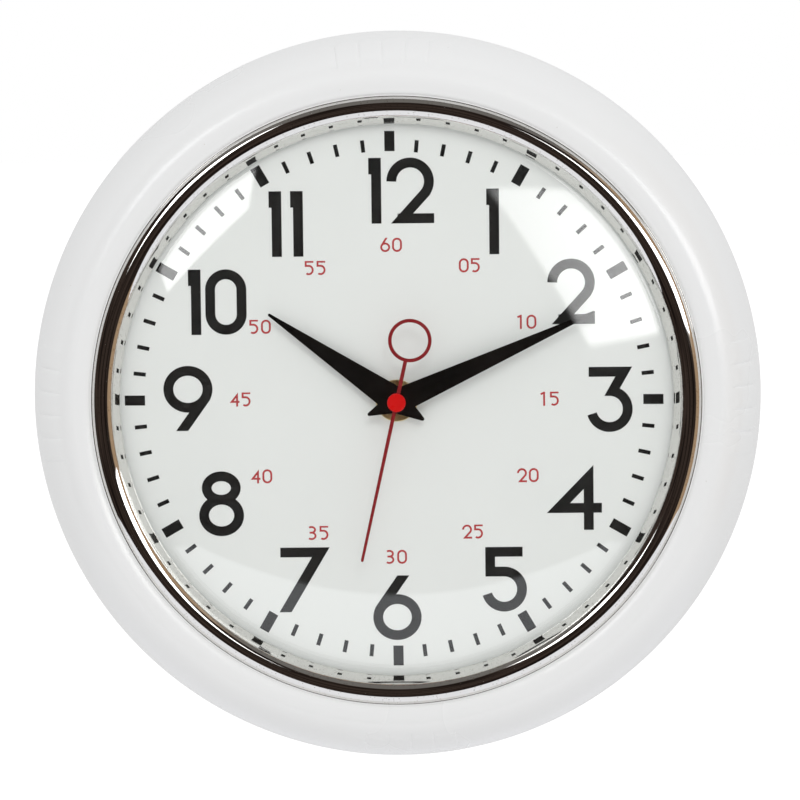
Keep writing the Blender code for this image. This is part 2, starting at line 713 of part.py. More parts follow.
def setting_train(slots, parent):
    """Knob, motion wheel, cannon pinion and hour wheel: what turns when the time is set."""
    acetal = slots["acetal"]
    motion_phase = wheel_phase(MOTION_PAIR, 0.0, CENTRE, MOTION)
    setting_phase = pinion_phase(MOTION_PAIR, motion_phase, MOTION, SETTING)
    hour_phase = wheel_phase(HOUR_PAIR, 0.0, MOTION, CENTRE)
    cannon = [
        (circle(CANNON_R, SMALL), 26.8, 27.9),
        (pinion_of(MOTION_PAIR, 0.0), 27.9, 29.1),
        (circle(CANNON_R, SMALL), 29.1, 39.4),
    ]
    bore = [circle(CANNON_BORE, SMALL)]
    stacked("cannon_pinion", cannon, slots["brass"], parent, bore)
    motion = [
        (wheel_of(MOTION_PAIR, motion_phase), 28.1, 28.9),
        (pinion_of(HOUR_PAIR, 0.0), 28.9, 30.4),
    ]
    bore = [circle(1.0, TINY)]
    stacked("motion_wheel", motion, acetal, parent, bore, location=MOTION)
    hour = [
        (wheel_of(HOUR_PAIR, hour_phase), 29.5, 30.3),
        (circle(HOUR_R, SMALL), 30.3, 37.4),
    ]
    stacked("hour_wheel", hour, acetal, parent, [circle(HOUR_BORE, SMALL)])
    grip = (18, 18, 11.0)
    knob = [
        (circle(4.6, SMALL), 13.8, 14.2),
        (wheel_of(grip, 0.0), 14.2, 16.2),
        (circle(1.5, TINY), 16.2, 27.9),
        (pinion_of(MOTION_PAIR, setting_phase), 27.9, 29.1),
        (circle(0.8, TINY), 29.1, 30.4),
    ]
    stacked("setting_knob", knob, acetal, parent, location=SETTING)


def running_train(slots, parent):
    """Rotor, intermediate, seconds, third and centre wheels: what the coil drives."""
    acetal = slots["acetal"]
    centre_phase = wheel_phase(CENTRE_PAIR, 0.0, THIRD, CENTRE)
    third_phase = wheel_phase(THIRD_PAIR, 0.0, CENTRE, THIRD)
    intermediate_phase = pinion_phase(SECONDS_PAIR, 0.0, CENTRE, INTERMEDIATE)
    rotor_phase = pinion_phase(ROTOR_PAIR, 0.0, INTERMEDIATE, ROTOR)
    arbor = circle(ARBOR_R, TINY)
    centre_teeth = wheel_of(CENTRE_PAIR, centre_phase)
    hub = [circle(CANNON_R + 0.15, SMALL)]
    plate("centre_wheel", centre_teeth, 27.0, 27.6, acetal, parent, hub)
    third = [
        (arbor, 19.4, 24.6),
        (wheel_of(THIRD_PAIR, third_phase), 24.6, 25.2),
        (arbor, 25.2, 26.7),
        (pinion_of(CENTRE_PAIR, 0.0), 26.7, 27.9),
        (arbor, 27.9, 30.3),
    ]
    stacked("third_wheel", third, acetal, parent, location=THIRD)
    seconds_arbor = circle(SECONDS_ARBOR_R, TINY)
    seconds = [
        (seconds_arbor, 19.4, 23.4),
        (wheel_of(SECONDS_PAIR, 0.0), 23.4, 24.0),
        (seconds_arbor, 24.0, 24.4),
        (pinion_of(THIRD_PAIR, 0.0), 24.4, 25.4),
        (seconds_arbor, 25.4, 42.5),
    ]
    stacked("seconds_wheel", seconds, acetal, parent)
    intermediate = [
        (arbor, 19.4, 22.2),
        (wheel_of(ROTOR_PAIR, 0.0), 22.2, 22.8),
        (arbor, 22.8, 23.1),
        (pinion_of(SECONDS_PAIR, intermediate_phase), 23.1, 24.3),
        (arbor, 24.3, 26.2),
    ]
    stacked("intermediate_wheel", intermediate, acetal, parent, location=INTERMEDIATE)
    rotor = [
        (arbor, 19.4, 22.05),
        (pinion_of(ROTOR_PAIR, rotor_phase), 22.05, 22.95),
        (arbor, 22.95, 26.2),
    ]
    stacked("rotor_pinion", rotor, acetal, parent, location=ROTOR)
    magnet = circle(2.4, SMALL)
    bore = [circle(ARBOR_R + GAP, TINY)]
    plate("rotor_magnet", magnet, 20.8, 21.85, slots["magnet"], parent, bore, location=ROTOR)


# ---------------------------------------------------------------- hands


def dart(length, tail, half_width):
    """A pointed hand: widest just past its hub, tapering to a blunt tip and a shorter tail."""
    tip_half, tail_half, widest = 0.45, 0.6, 1.2
    return [
        (half_width, widest),
        (tip_half, length),
        (-tip_half, length),
        (-half_width, widest),
        (-tail_half, -tail),
        (tail_half, -tail),
    ]


def second_hand_outline(length, ring_centre, ring_r):
    """A needle on one side of the hub and a ring on a stem on the other, as one outline."""
    hub_r, base_half, tip_half, stem_half = 2.0, 0.55, 0.38, 0.5
    base = math.degrees(math.acos(base_half / hub_r))
    stem = math.degrees(math.acos(stem_half / hub_r))
    joint = math.degrees(math.asin(stem_half / ring_r))
    points = [(tip_half, length), (-tip_half, length)]
    points += arc(0, 0, hub_r, 180 - base, 180 + stem, 8)
    points += arc(0, -ring_centre, ring_r, 90 + joint, 450 - joint, 30)
    points += arc(0, 0, hub_r, 360 - stem, 360 + base, 8)
    return points


def hands(slots, parent):
    black, red = slots["hand_black"], slots["hand_red"]
    specs = [
        ("hour_hand", dart(50.5, 10.8, 4.5), HOUR_HAND, HOUR_R, HOUR_ANGLE),
        ("minute_hand", dart(70.7, 10.3, 4.1), MINUTE_HAND, CANNON_R, MINUTE_ANGLE),
    ]
    for name, outline, heights, tube_r, angle in specs:
        hole = [circle(tube_r + GAP, SMALL)]
        turn = -math.radians(angle)
        plate(name, outline, *heights, black, parent, hole, turn=turn)
    ring_centre, ring_r, ring_inner = 20.6, 7.05, 6.0
    outline = second_hand_outline(53.3, ring_centre, ring_r)
    holes = [circle(0.6, TINY), circle(ring_inner, 30, (0, -ring_centre))]
    turn = -math.radians(SECOND_ANGLE)
    plate("second_hand", outline, *SECOND_HAND, red, parent, holes, turn=turn)
    cap_bottom = SECOND_HAND[1] + GAP
    cap = stacked(
        "second_hand_cap",
        [
            (circle(3.0, SMALL), cap_bottom, cap_bottom + 1.4),
            (circle(2.5, SMALL), cap_bottom + 1.4, cap_bottom + 1.8),
        ],
        red,
        parent,
    )
    boolean(cap, "DIFFERENCE", cylinder_mesh(0.62, cap_bottom - 1, cap_bottom + 1.3))


# ---------------------------------------------------------------- the whole clock


def main():
    for obj in list(bpy.data.objects):
        bpy.data.objects.remove(obj)
    slots = materials()
    axis = bpy.data.objects.new("clock_axis", None)
    bpy.context.scene.collection.objects.link(axis)
    axis.location = (0, 0, -NAIL_RISE * MM)
    axis.rotation_euler = (math.radians(90), 0, 0)
    front_assembly(slots, axis)
    rear_assembly(slots, axis)
    movement_housing(slots, axis)
    train_plate("middle_plate", MIDDLE_PLATE, slots, axis)
    train_plate("train_bridge", BRIDGE_PLATE, slots, axis)
    dial_fixing(slots, axis)
    coil_and_stator(slots, axis)
    electronics(slots, axis)
    battery_and_contacts(slots, axis)
    setting_train(slots, axis)
    running_train(slots, axis)
    hands(slots, axis)


main()
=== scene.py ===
"""The looks of the wall clock: fine meshes, printed dial, materials, studio and camera.

Shapes are given on a bench frame in millimetres, as in the CAD: x to the right, y towards twelve
o'clock, and height above the wall. place() turns a bench point into the row frame.
"""

import json
import math

import bmesh
import bpy
from mathutils import Matrix, Vector
from mathutils.geometry import delaunay_2d_cdt

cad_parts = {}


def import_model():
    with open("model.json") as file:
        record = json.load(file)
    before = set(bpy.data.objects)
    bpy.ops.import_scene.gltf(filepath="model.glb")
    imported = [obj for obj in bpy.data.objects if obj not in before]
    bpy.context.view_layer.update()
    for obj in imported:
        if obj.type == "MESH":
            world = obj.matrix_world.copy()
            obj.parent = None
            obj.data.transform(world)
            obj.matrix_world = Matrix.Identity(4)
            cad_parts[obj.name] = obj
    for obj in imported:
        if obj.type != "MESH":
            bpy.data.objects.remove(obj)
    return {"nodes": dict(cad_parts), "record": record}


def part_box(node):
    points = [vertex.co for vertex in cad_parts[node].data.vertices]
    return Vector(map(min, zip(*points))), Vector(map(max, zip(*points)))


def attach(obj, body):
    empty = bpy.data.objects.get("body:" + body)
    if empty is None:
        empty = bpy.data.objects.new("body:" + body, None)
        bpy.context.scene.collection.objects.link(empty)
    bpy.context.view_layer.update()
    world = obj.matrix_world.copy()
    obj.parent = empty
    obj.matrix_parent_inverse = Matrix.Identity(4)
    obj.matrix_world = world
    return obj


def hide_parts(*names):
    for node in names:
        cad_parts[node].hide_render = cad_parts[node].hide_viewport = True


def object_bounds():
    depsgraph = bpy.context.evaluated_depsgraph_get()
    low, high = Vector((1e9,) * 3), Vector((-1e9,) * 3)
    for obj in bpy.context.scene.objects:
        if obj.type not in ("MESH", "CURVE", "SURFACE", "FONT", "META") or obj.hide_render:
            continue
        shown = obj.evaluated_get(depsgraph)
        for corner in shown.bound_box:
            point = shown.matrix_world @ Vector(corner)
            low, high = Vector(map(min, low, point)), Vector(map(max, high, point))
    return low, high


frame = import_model()
CAD_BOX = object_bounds()

MM = 0.001


# ---- sizes read from the frame


def middle(node):
    low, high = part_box(node)
    return (low + high) / 2


AXIS = middle("dial_plate")


def heights(node):
    """How high above the wall a CAD node starts and ends, in millimetres."""
    low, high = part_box(node)
    return -high.y / MM, -low.y / MM


def radius_of(node):
    low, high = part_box(node)
    return (high.x - low.x) / 2 / MM


CASE_R = radius_of("case_shell")
DIAL_R = radius_of("dial_plate")
DIAL_FRONT = heights("dial_plate")[1]
BEZEL_OUTER_R = radius_of("bezel_ring")
CASE_FRONT = heights("case_shell")[1]
LENS_TOP = heights("lens")[1]

# Case outline, as the CAD has it
LIP_R, SEAT_R, SEAT_HEIGHT = 98.0, 99.9, 40.6
CREST_R = 105.0
WIDEST_HEIGHT, SHOULDER_POWER = 14.0, 1.7
COVE_POWER = 1.15
SIDE_FOOT_HEIGHT, REAR_CORNER = 8.0, 2.4
REAR_RIM_R, SHEET = 114.0, 1.0

# Reeds pressed into the shoulder at 12, 3, 6 and 9 o'clock
REED_COUNT, REED_DEG, REED_START_R, REED_END_R = 5, 3.8, 109.2, 117.5
REED_RISE, REED_GROOVE, REED_BULGE, REED_SOFT_END = 0.24, 0.24, 1.2, 0.8
REED_HALF_BAND = REED_COUNT * REED_DEG / 2  # in degrees, from the middle of a cluster to its end

# Bezel and lens
BEZEL_FOOT_R, BEZEL_FOOT_HEIGHT = 90.4, 36.7
BEAD_R, BEAD_CENTRE_R, BEAD_CENTRE_HEIGHT = 3.9, 95.8, 39.0
FIXING_R, BEZEL_FIXINGS = 95.8, (20, 110, 200, 290)
BOSS_R, BOSS_BORE_R = 1.9, 1.05
BOSS_REAR_HEIGHT, BOSS_FRONT_HEIGHT = 32.7, SEAT_HEIGHT + 0.9
LENS_THICK, LENS_RIM_TOP = 2.0, 36.2
GASKET_INNER_R = 90.6

# Print on the dial
INK = 0.05  # how far the print stands up
TICK_START_R, MINUTE_TICK_END_R, HOUR_TICK_END_R = 81.7, 85.7, 88.3
MINUTE_TICK_WIDE, HOUR_TICK_WIDE = 1.3, 3.3
HOUR_DIGIT_TALL, HOUR_STROKE = 21.3, 3.2
MINUTE_DIGIT_TALL, MINUTE_STROKE, MINUTE_DIGIT_WIDE = 4.6, 0.62, 3.2
MINUTE_PITCH = 3.85
# The minute track sits a hair off centre and off round
TRACK_SHIFT = (-0.89, 0.24)
TRACK_SCALE, TRACK_SKEW = (0.9948, 0.9909), (-0.0072, -0.0063)

# Hands: clockwise angles from twelve at rest
HOUR_ANGLE, MINUTE_ANGLE, SECOND_ANGLE = 304.8, 66.0, 192.75

# Hub: the holes round the hands' pipes, and the nut
DIAL_HOLE_R, PIPE_HOLE_R, NUT_CORNER_R = 4.2, 4.15, 5.6

# Screws of the rear cover, each turned its own way, and their cross recess
SCREW_HEAD, SCREW_SHANK_R = 1.3, 1.0
SCREW_TURNS = (12, 57, 31, 80)
RECESS_REACH, RECESS_HALF, RECESS_DEEP = 1.55, 0.33, 0.9


# ---- plane geometry


def polar(radius, degrees):
    """A point at that radius, counterclockwise from bench +X."""
    angle = math.radians(degrees)
    return radius * math.cos(angle), radius * math.sin(angle)


def arc(cx, cy, radius, start, end, step=5.0, tall=None):
    """Points along an arc, or along part of an ellipse whose half height is tall."""
    count = max(2, math.ceil(abs(end - start) / step))
    squash = 1.0 if tall is None else tall / radius
    points = []
    for i in range(count + 1):
        dx, dy = polar(radius, start + (end - start) * i / count)
        points.append((cx + dx, cy + dy * squash))
    return points


def circle(radius, sides, centre=(0.0, 0.0)):
    points = [polar(radius, 360 * i / sides) for i in range(sides)]
    return [(centre[0] + x, centre[1] + y) for x, y in points]


def rectangle(x0, y0, x1, y1):
    return [(x0, y0), (x1, y0), (x1, y1), (x0, y1)]


def turned_by(points, degrees, dx=0.0, dy=0.0):
    """Points turned counterclockwise about the origin, then moved."""
    cosine, sine = polar(1, degrees)
    return [(x * cosine - y * sine + dx, x * sine + y * cosine + dy) for x, y in points]


def ribbon(path, half):
    """The outline of a pen stroke of even width along path, with square ends."""
    left, right = [], []
    for i, point in enumerate(path):
        here = Vector(point)
        before = Vector(path[max(i - 1, 0)])
        after = Vector(path[min(i + 1, len(path) - 1)])
        arriving = (here - before).normalized() if i else (after - here).normalized()
        leaving = (after - here).normalized() if i < len(path) - 1 else arriving
        along = (arriving + leaving).normalized()
        reach = half / max(0.3, along.dot(arriving))
        across = Vector((-along.y, along.x)) * reach
        left.append(tuple(here + across))
        right.append(tuple(here - across))
    return left + right[::-1]


def slanted(low, high, thick):
    """A straight stroke between two points, with its ends cut level."""
    dx, dy = high[0] - low[0], high[1] - low[1]
    half = thick / 2 * math.hypot(dx, dy) / abs(dy)
    (x0, y0), (x1, y1) = low, high
    return [(x0 - half, y0), (x0 + half, y0), (x1 + half, y1), (x1 - half, y1)]


def tangent_angle(point, cx, cy, radius, side):
    """Where a line from point touches a circle. side is +1 or -1, for the two tangents."""
    dx, dy = point[0] - cx, point[1] - cy
    return math.degrees(math.atan2(dy, dx) + side * math.acos(radius / math.hypot(dx, dy)))


# ---- meshes


def place(x, y, height):
    return AXIS.x + x * MM, -height * MM, AXIS.z + y * MM


def ring_of(bm, loop, height):
    return [bm.verts.new((x, y, height)) for x, y in loop]


def wall(bm, lower, upper):
    for i in range(len(lower)):
        j = (i + 1) % len(lower)
        bm.faces.new((lower[i], lower[j], upper[j], upper[i]))


def flat(bm, *rings):
    """Fills the flat area between rings of vertices, the largest of them outermost."""
    edges = []
    for ring in rings:
        for i in range(len(ring)):
            pair = (ring[i], ring[(i + 1) % len(ring)])
            edges.append(bm.edges.get(pair) or bm.edges.new(pair))
    bmesh.ops.triangle_fill(bm, use_beauty=True, use_dissolve=True, edges=edges)


def slab(bm, outline, low, high, holes=()):
    """A flat plate of that outline, with holes through it."""
    loops = [outline, *holes]
    bottoms = [ring_of(bm, loop, low) for loop in loops]
    tops = [ring_of(bm, loop, high) for loop in loops]
    for lower, upper in zip(bottoms, tops):
        wall(bm, lower, upper)
    flat(bm, *bottoms)
    flat(bm, *tops)


def turn(bm, profile, angles, shift=None):
    """A ring turned from a closed profile of (radius, height). shift(degrees, r, h) may change r."""
    spokes = []
    for degrees in angles:
        cosine, sine = polar(1, degrees)
        spoke = []
        for r, h in profile:
            reach = r if shift is None else shift(degrees, r, h)
            spoke.append(bm.verts.new((reach * cosine, reach * sine, h)))
        spokes.append(spoke)
    for i, spoke in enumerate(spokes):
        wall(bm, spoke, spokes[(i + 1) % len(spokes)])


def spun(bm, profile, sides, point):
    """A solid turned from a profile that starts and ends on its axis. point() places each vertex."""
    start, end = [bm.verts.new(point(*profile[i], 1, 0)) for i in (0, -1)]
    spokes = []
    for i in range(sides):
        direction = polar(1, 360 * i / sides)
        spokes.append([bm.verts.new(point(r, h, *direction)) for r, h in profile[1:-1]])
    for i, spoke in enumerate(spokes):
        after = spokes[(i + 1) % sides]
        bm.faces.new((start, after[0], spoke[0]))
        bm.faces.new((end, spoke[-1], after[-1]))
        for j in range(len(spoke) - 1):
            bm.faces.new((spoke[j], after[j], after[j + 1], spoke[j + 1]))


def facing_out(r, h, cosine, sine):
    """A point of a solid whose axis is the clock's."""
    return r * cosine, r * sine, h


def even(sides):
    return [360 * i / sides for i in range(sides)]


def ink(bm, outlines, dx, dy):
    """Joins outlines that may overlap into one flat shape of print, and gives it its thickness."""
    points, loops = [], []
    for outline in outlines:
        area = sum(a[0] * b[1] - b[0] * a[1] for a, b in zip(outline, outline[1:] + outline[:1]))
        ordered = outline if area > 0 else outline[::-1]
        loops.append(list(range(len(points), len(points) + len(ordered))))
        points += [Vector(point) for point in ordered]
    corners, _, faces, _, _, came_from = delaunay_2d_cdt(points, [], loops, 1, 1e-4)
    kept = [face for face, sources in zip(faces, came_from) if sources]
    used = sorted({i for face in kept for i in face})
    levels = []
    for height in (DIAL_FRONT, DIAL_FRONT + INK):
        levels.append({i: bm.verts.new((corners[i].x + dx, corners[i].y + dy, height)) for i in used})
    lower, upper = levels
    sides = set()
    for face in kept:
        bm.faces.new([upper[i] for i in face])
        bm.faces.new([lower[i] for i in reversed(face)])
        for a, b in zip(face, face[1:] + face[:1]):
            sides.symmetric_difference_update({(min(a, b), max(a, b))})
    for a, b in sorted(sides):
        bm.faces.new((lower[a], lower[b], upper[b], upper[a]))


def linked(name, data):
    """A new object in the scene."""
    made = bpy.data.objects.new(name, data)
    bpy.context.scene.collection.objects.link(made)
    return made


def piece(name, bm, material, body="clock", instead_of=(), sharp=35, bevel=0.0, segments=2):
    """Makes the mesh an object in the row frame that rides on a body and stands for CAD nodes."""
    bmesh.ops.recalc_face_normals(bm, faces=bm.faces)
    for vertex in bm.verts:
        vertex.co = place(*vertex.co)
    mesh = bpy.data.meshes.new(name)
    bm.to_mesh(mesh)
    bm.free()
    mesh.shade_smooth()
    mesh.set_sharp_from_angle(angle=math.radians(sharp))
    mesh.materials.append(material)
    made = linked(name, mesh)
    if bevel:
        edge = made.modifiers.new("rounded_edges", "BEVEL")
        edge.width = bevel * MM
        edge.segments = segments
        edge.limit_method = "ANGLE"
        edge.angle_limit = math.radians(40)
        edge.harden_normals = True
    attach(made, body)
    if instead_of:
        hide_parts(*instead_of)
    return made


# ---- node graphs


class Graph:
    """Short names for building a node tree."""

    def __init__(self, tree):
        self.tree = tree

    def node(self, kind, **settings):
        made = self.tree.nodes.new(kind)
        for key, value in settings.items():
            setattr(made, key, value)
        return made

    def feed(self, socket, value):
        if isinstance(value, bpy.types.NodeSocket):
            self.tree.links.new(value, socket)
        else:
            socket.default_value = value

    def maths(self, operation, *values):
        made = self.node("ShaderNodeMath", operation=operation)
        for socket, value in zip(made.inputs, values):
            self.feed(socket, value)
        return made.outputs[0]

    def ramp(self, value, low, high, start=0.0, end=1.0, smooth=True):
        """value carried from low..high to start..end, and held at the ends."""
        kind = "SMOOTHSTEP" if smooth else "LINEAR"
        made = self.node("ShaderNodeMapRange", interpolation_type=kind)
        for socket, given in zip(made.inputs, (value, low, high, start, end)):
            self.feed(socket, given)
        return made.outputs[0]

    def blend(self, factor, first, second):
        made = self.node("ShaderNodeMix", data_type="RGBA")
        colour_a, colour_b = made.inputs[6], made.inputs[7]
        self.feed(made.inputs["Factor"], factor)
        self.feed(colour_a, first)
        self.feed(colour_b, second)
        return made.outputs[2]

    def noise(self, vector, scale, detail=3.0, rough=0.5):
        made = self.node("ShaderNodeTexNoise")
        self.feed(made.inputs["Vector"], vector)
        self.feed(made.inputs["Scale"], scale)
        self.feed(made.inputs["Detail"], detail)
        self.feed(made.inputs["Roughness"], rough)
        return made.outputs["Fac"]

    def cells(self, vector, scale, feature="F1"):
        made = self.node("ShaderNodeTexVoronoi", feature=feature)
        self.feed(made.inputs["Vector"], vector)
        self.feed(made.inputs["Scale"], scale)
        return made.outputs["Distance"]

    def bump(self, height, strength, distance, after=None):
        made = self.node("ShaderNodeBump")
        self.feed(made.inputs["Height"], height)
        self.feed(made.inputs["Strength"], strength)
        self.feed(made.inputs["Distance"], distance)
        if after is not None:
            self.feed(made.inputs["Normal"], after)
        return made.outputs["Normal"]

    def axes(self, vector):
        """The x, y and z of a vector."""
        split = self.node("ShaderNodeSeparateXYZ")
        self.feed(split.inputs[0], vector)
        return split.outputs

    def finish(self, shader, colour, rough, normal=None, metallic=0.0):
        """Feeds the shader's main inputs, each with a value or a socket."""
        self.feed(shader.inputs["Base Color"], colour)
        self.feed(shader.inputs["Roughness"], rough)
        self.feed(shader.inputs["Metallic"], metallic)
        if normal is not None:
            self.feed(shader.inputs["Normal"], normal)


def grey(level):
    return (level, level, level, 1.0)


def tinted(colour, factor):
    return (*(min(1.0, channel * factor) for channel in colour), 1.0)


def new_material(name):
    """The material, its graph and shader, and the place on the object that patterns are read from."""
    made = bpy.data.materials.new(name)
    made.use_nodes = True
    graph = Graph(made.node_tree)
    at = graph.node("ShaderNodeTexCoord").outputs["Object"]
    return made, graph, made.node_tree.nodes["Principled BSDF"], at


def surface(
    name, colour, rough, metallic=0.0, spread=0.06, patch=60, grain=2500, depth=0.01, soft=0.06, **fixed
):
    """A finish whose colour drifts in soft patches, with a fine grain in its roughness and relief.

    spread is how far the colour drifts, patch and grain are noise scales per metre, depth is the
    relief in millimetres, soft is how far the roughness varies, and fixed sets shader inputs."""
    made, graph, shader, at = new_material(name)
    drift = graph.noise(at, patch, 4.0)
    fine = graph.noise(at, grain, 2.0)
    pale, deep = tinted(colour, 1 + spread), tinted(colour, 1 - spread)
    colours = graph.blend(0.25, graph.blend(drift, deep, pale), graph.blend(fine, deep, pale))
    roughness = graph.ramp(drift, 0.3, 0.7, rough - soft, rough + soft)
    graph.finish(shader, colours, roughness, graph.bump(fine, 0.5, depth * MM), metallic)
    for key, value in fixed.items():
        shader.inputs[key.replace("_", " ")].default_value = value
    made.diffuse_color = (*colour, 1.0)
    return made


def enamel():
    """Sprayed white enamel: smooth and glossy, with a faint orange peel and a few dust specks."""
    colour, dust = (0.873, 0.873, 0.873), (0.72, 0.7, 0.67, 1.0)
    made, graph, shader, at = new_material("white_enamel")
    drift = graph.noise(at, 18, 3.0)
    tone = graph.blend(drift, tinted(colour, 0.985), tinted(colour, 1.01))
    specks = graph.ramp(graph.cells(at, 130), 0.018, 0.03)
    peel = graph.bump(graph.noise(at, 420, 2.0), 0.25, 0.02 * MM)
    graph.finish(shader, graph.blend(specks, dust, tone), graph.ramp(drift, 0.3, 0.7, 0.27, 0.33), peel)
    shader.inputs["Coat Weight"].default_value = 0.15
    shader.inputs["Coat Roughness"].default_value = 0.1
    return made


def chrome():
    """Bright chrome with faint rub marks and pits."""
    made, graph, shader, at = new_material("chrome")
    drift = graph.noise(at, 90, 4.0)
    tone = graph.blend(drift, (0.74, 0.73, 0.71, 1.0), (0.82, 0.81, 0.79, 1.0))
    pits = graph.ramp(graph.cells(at, 900), 0.1, 0.3)
    worn = graph.blend(pits, (0.6, 0.58, 0.55, 1.0), tone)
    waves = graph.bump(graph.noise(at, 160, 1.0), 0.08, 0.02 * MM)
    relief = graph.bump(pits, 0.1, 0.008 * MM, waves)
    graph.finish(shader, worn, graph.ramp(drift, 0.35, 0.75, 0.025, 0.075), relief, 1.0)
    return made


def glass():
    """Clear glass. It lets the lamps' light through to the dial."""
    made, graph, shader, at = new_material("glass")
    tone = graph.blend(graph.noise(at, 30), (0.985, 0.995, 0.988, 1.0), (0.995, 1.0, 0.997, 1.0))
    graph.finish(shader, tone, graph.ramp(graph.noise(at, 55, 4.0), 0.55, 0.8, 0.0, 0.012))
    shader.inputs["IOR"].default_value = 1.5
    shader.inputs["Transmission Weight"].default_value = 1.0
    clear = graph.node("ShaderNodeBsdfTransparent")
    graph.feed(clear.inputs["Color"], (0.95, 0.96, 0.955, 1.0))
    rays = graph.node("ShaderNodeLightPath")
    mix = graph.node("ShaderNodeMixShader")
    output = made.node_tree.nodes["Material Output"]
    graph.feed(mix.inputs[0], rays.outputs["Is Shadow Ray"])
    graph.feed(mix.inputs[1], shader.outputs[0])
    graph.feed(mix.inputs[2], clear.outputs[0])
    graph.feed(output.inputs["Surface"], mix.outputs[0])
    return made


def turned_brass():
    """Brass with fine lathe marks round the clock's axis."""
    colour, rough, rings = (0.83, 0.66, 0.34), 0.36, 9000
    made, graph, shader, at = new_material("brass")
    moved = graph.node("ShaderNodeVectorMath", operation="SUBTRACT")
    graph.feed(moved.inputs[0], at)
    moved.inputs[1].default_value = place(0.0, 0.0, 0.0)
    x, _, z = graph.axes(moved.outputs[0])
    square = graph.maths("ADD", graph.maths("MULTIPLY", x, x), graph.maths("MULTIPLY", z, z))
    marks = graph.maths("SINE", graph.maths("MULTIPLY", graph.maths("SQRT", square), rings))
    drift = graph.noise(at, 400, 3.0)
    colours = graph.blend(drift, tinted(colour, 0.82), tinted(colour, 1.1))
    roughness = graph.ramp(drift, 0.3, 0.7, rough - 0.07, rough + 0.07)
    graph.finish(shader, colours, roughness, graph.bump(marks, 0.2, 0.004 * MM), 1.0)
    return made


def winding():
    """Enamelled copper wire, turn beside turn along X, darker between turns as painted shade and lighter on
    top as painted highlight.
    """
    made, graph, shader, at = new_material("copper")
    x, _, _ = graph.axes(at)
    raised = graph.ramp(graph.maths("SINE", graph.maths("MULTIPLY", x, 25000)), -1.0, 1.0)
    # painted shade and highlight: the copper's colour is darker in the grooves between turns and lighter on
    # their crowns
    colours = graph.blend(raised, (0.3, 0.09, 0.03, 1.0), (0.75, 0.32, 0.15, 1.0))
    roughness = graph.ramp(graph.noise(at, 600), 0.3, 0.7, 0.22, 0.4)
    graph.finish(shader, colours, roughness, graph.bump(raised, 0.6, 0.04 * MM), 1.0)
    return made


def circuit():
    """Green solder mask over copper tracks."""
    made, graph, shader, at = new_material("circuit_green")
    tracks = graph.ramp(graph.cells(at, 420, "DISTANCE_TO_EDGE"), 0.05, 0.08)
    drift = graph.noise(at, 300)
    mask = graph.blend(drift, (0.012, 0.12, 0.045, 1.0), (0.02, 0.17, 0.06, 1.0))
    colours = graph.blend(tracks, (0.05, 0.26, 0.09, 1.0), mask)
    roughness = graph.ramp(drift, 0.3, 0.7, 0.28, 0.42)
    graph.finish(shader, colours, roughness, graph.bump(tracks, 0.4, 0.03 * MM))
    return made


def battery_film():
    """Printed film with a silver band at the button end, and bare plated steel at both ends."""
    low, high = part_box("battery")
    made, graph, shader, at = new_material("battery_wrap")
    x, _, _ = graph.axes(at)
    drift = graph.noise(at, 90, 4.0)
    film = graph.blend(drift, (0.012, 0.075, 0.20, 1.0), (0.018, 0.095, 0.24, 1.0))
    band = graph.ramp(x, high.x - 14.1 * MM, high.x - 14 * MM)
    film = graph.blend(band, film, (0.56, 0.57, 0.59, 1.0))
    button_end = graph.ramp(x, high.x - 1.15 * MM, high.x - 1.1 * MM)
    flat_end = graph.ramp(x, low.x + 0.15 * MM, low.x + 0.2 * MM, 1.0, 0.0)
    steel = graph.maths("MAXIMUM", button_end, flat_end)
    colours = graph.blend(steel, film, (0.62, 0.61, 0.58, 1.0))
    metallic = graph.maths("MAXIMUM", steel, graph.maths("MULTIPLY", band, 0.7))
    graph.finish(shader, colours, graph.ramp(drift, 0.3, 0.7, 0.24, 0.34), metallic=metallic)
    made.diffuse_color = (0.015, 0.085, 0.22, 1.0)
    return made


# Plain finishes: colour, roughness, and what else surface() is given
FINISHES = {
    "clear_rubber": ((0.62, 0.65, 0.63), 0.45, {"spread": 0.04}),
    "dial_white": (
        (0.885, 0.89, 0.875), 0.5, {"spread": 0.008, "patch": 35, "grain": 4000, "depth": 0.0006}
    ),
    "hand_black": ((0.0035, 0.0033, 0.0032), 0.22, {"spread": 0.1, "soft": 0.015}),
    # The second hand wears the cap's red paint, darkened here as painted shade
    "hand_red": ((0.27, 0.004, 0.008), 0.38, {"spread": 0.1, "patch": 200}),
    "black_plastic": (
        (0.018, 0.018, 0.019), 0.5, {"spread": 0.18, "patch": 45, "grain": 3200, "depth": 0.03}
    ),
    "black_rubber": ((0.012, 0.012, 0.012), 0.8, {"spread": 0.2, "grain": 1800, "depth": 0.03}),
    "zinc_steel": (
        (0.55, 0.56, 0.58), 0.33, {"metallic": 1.0, "spread": 0.12, "patch": 350, "grain": 5000, "soft": 0.1}
    ),
    "magnet": ((0.09, 0.09, 0.1), 0.4, {"metallic": 1.0, "spread": 0.15, "patch": 500}),
    "acetal": ((0.8, 0.78, 0.72), 0.42, {"spread": 0.03, "patch": 120, "Subsurface_Weight": 0.1}),
    "ink_black": ((0.006, 0.006, 0.006), 0.55, {"spread": 0.2, "patch": 260, "grain": 3500}),
    "ink_red": ((0.50, 0.045, 0.05), 0.55, {"spread": 0.08, "patch": 260, "grain": 3500}),
    # The cap's red is the second hand's paint, brightened here as painted light
    "cap_red_painted_light": ((0.66, 0.0, 0.0), 0.3, {"spread": 0.05, "patch": 300, "Specular_IOR_Level": 0.2}),
}


def all_materials():
    """Each material slot's finish, and the finishes of the print and the cap."""
    slots = {name: surface(name, colour, rough, **more) for name, (colour, rough, more) in FINISHES.items()}
    slots.update(white_enamel=enamel(), chrome=chrome(), glass=glass(), brass=turned_brass())
    slots.update(copper=winding(), circuit_green=circuit(), battery_wrap=battery_film())
    return slots


# ---- case, bezel and lens


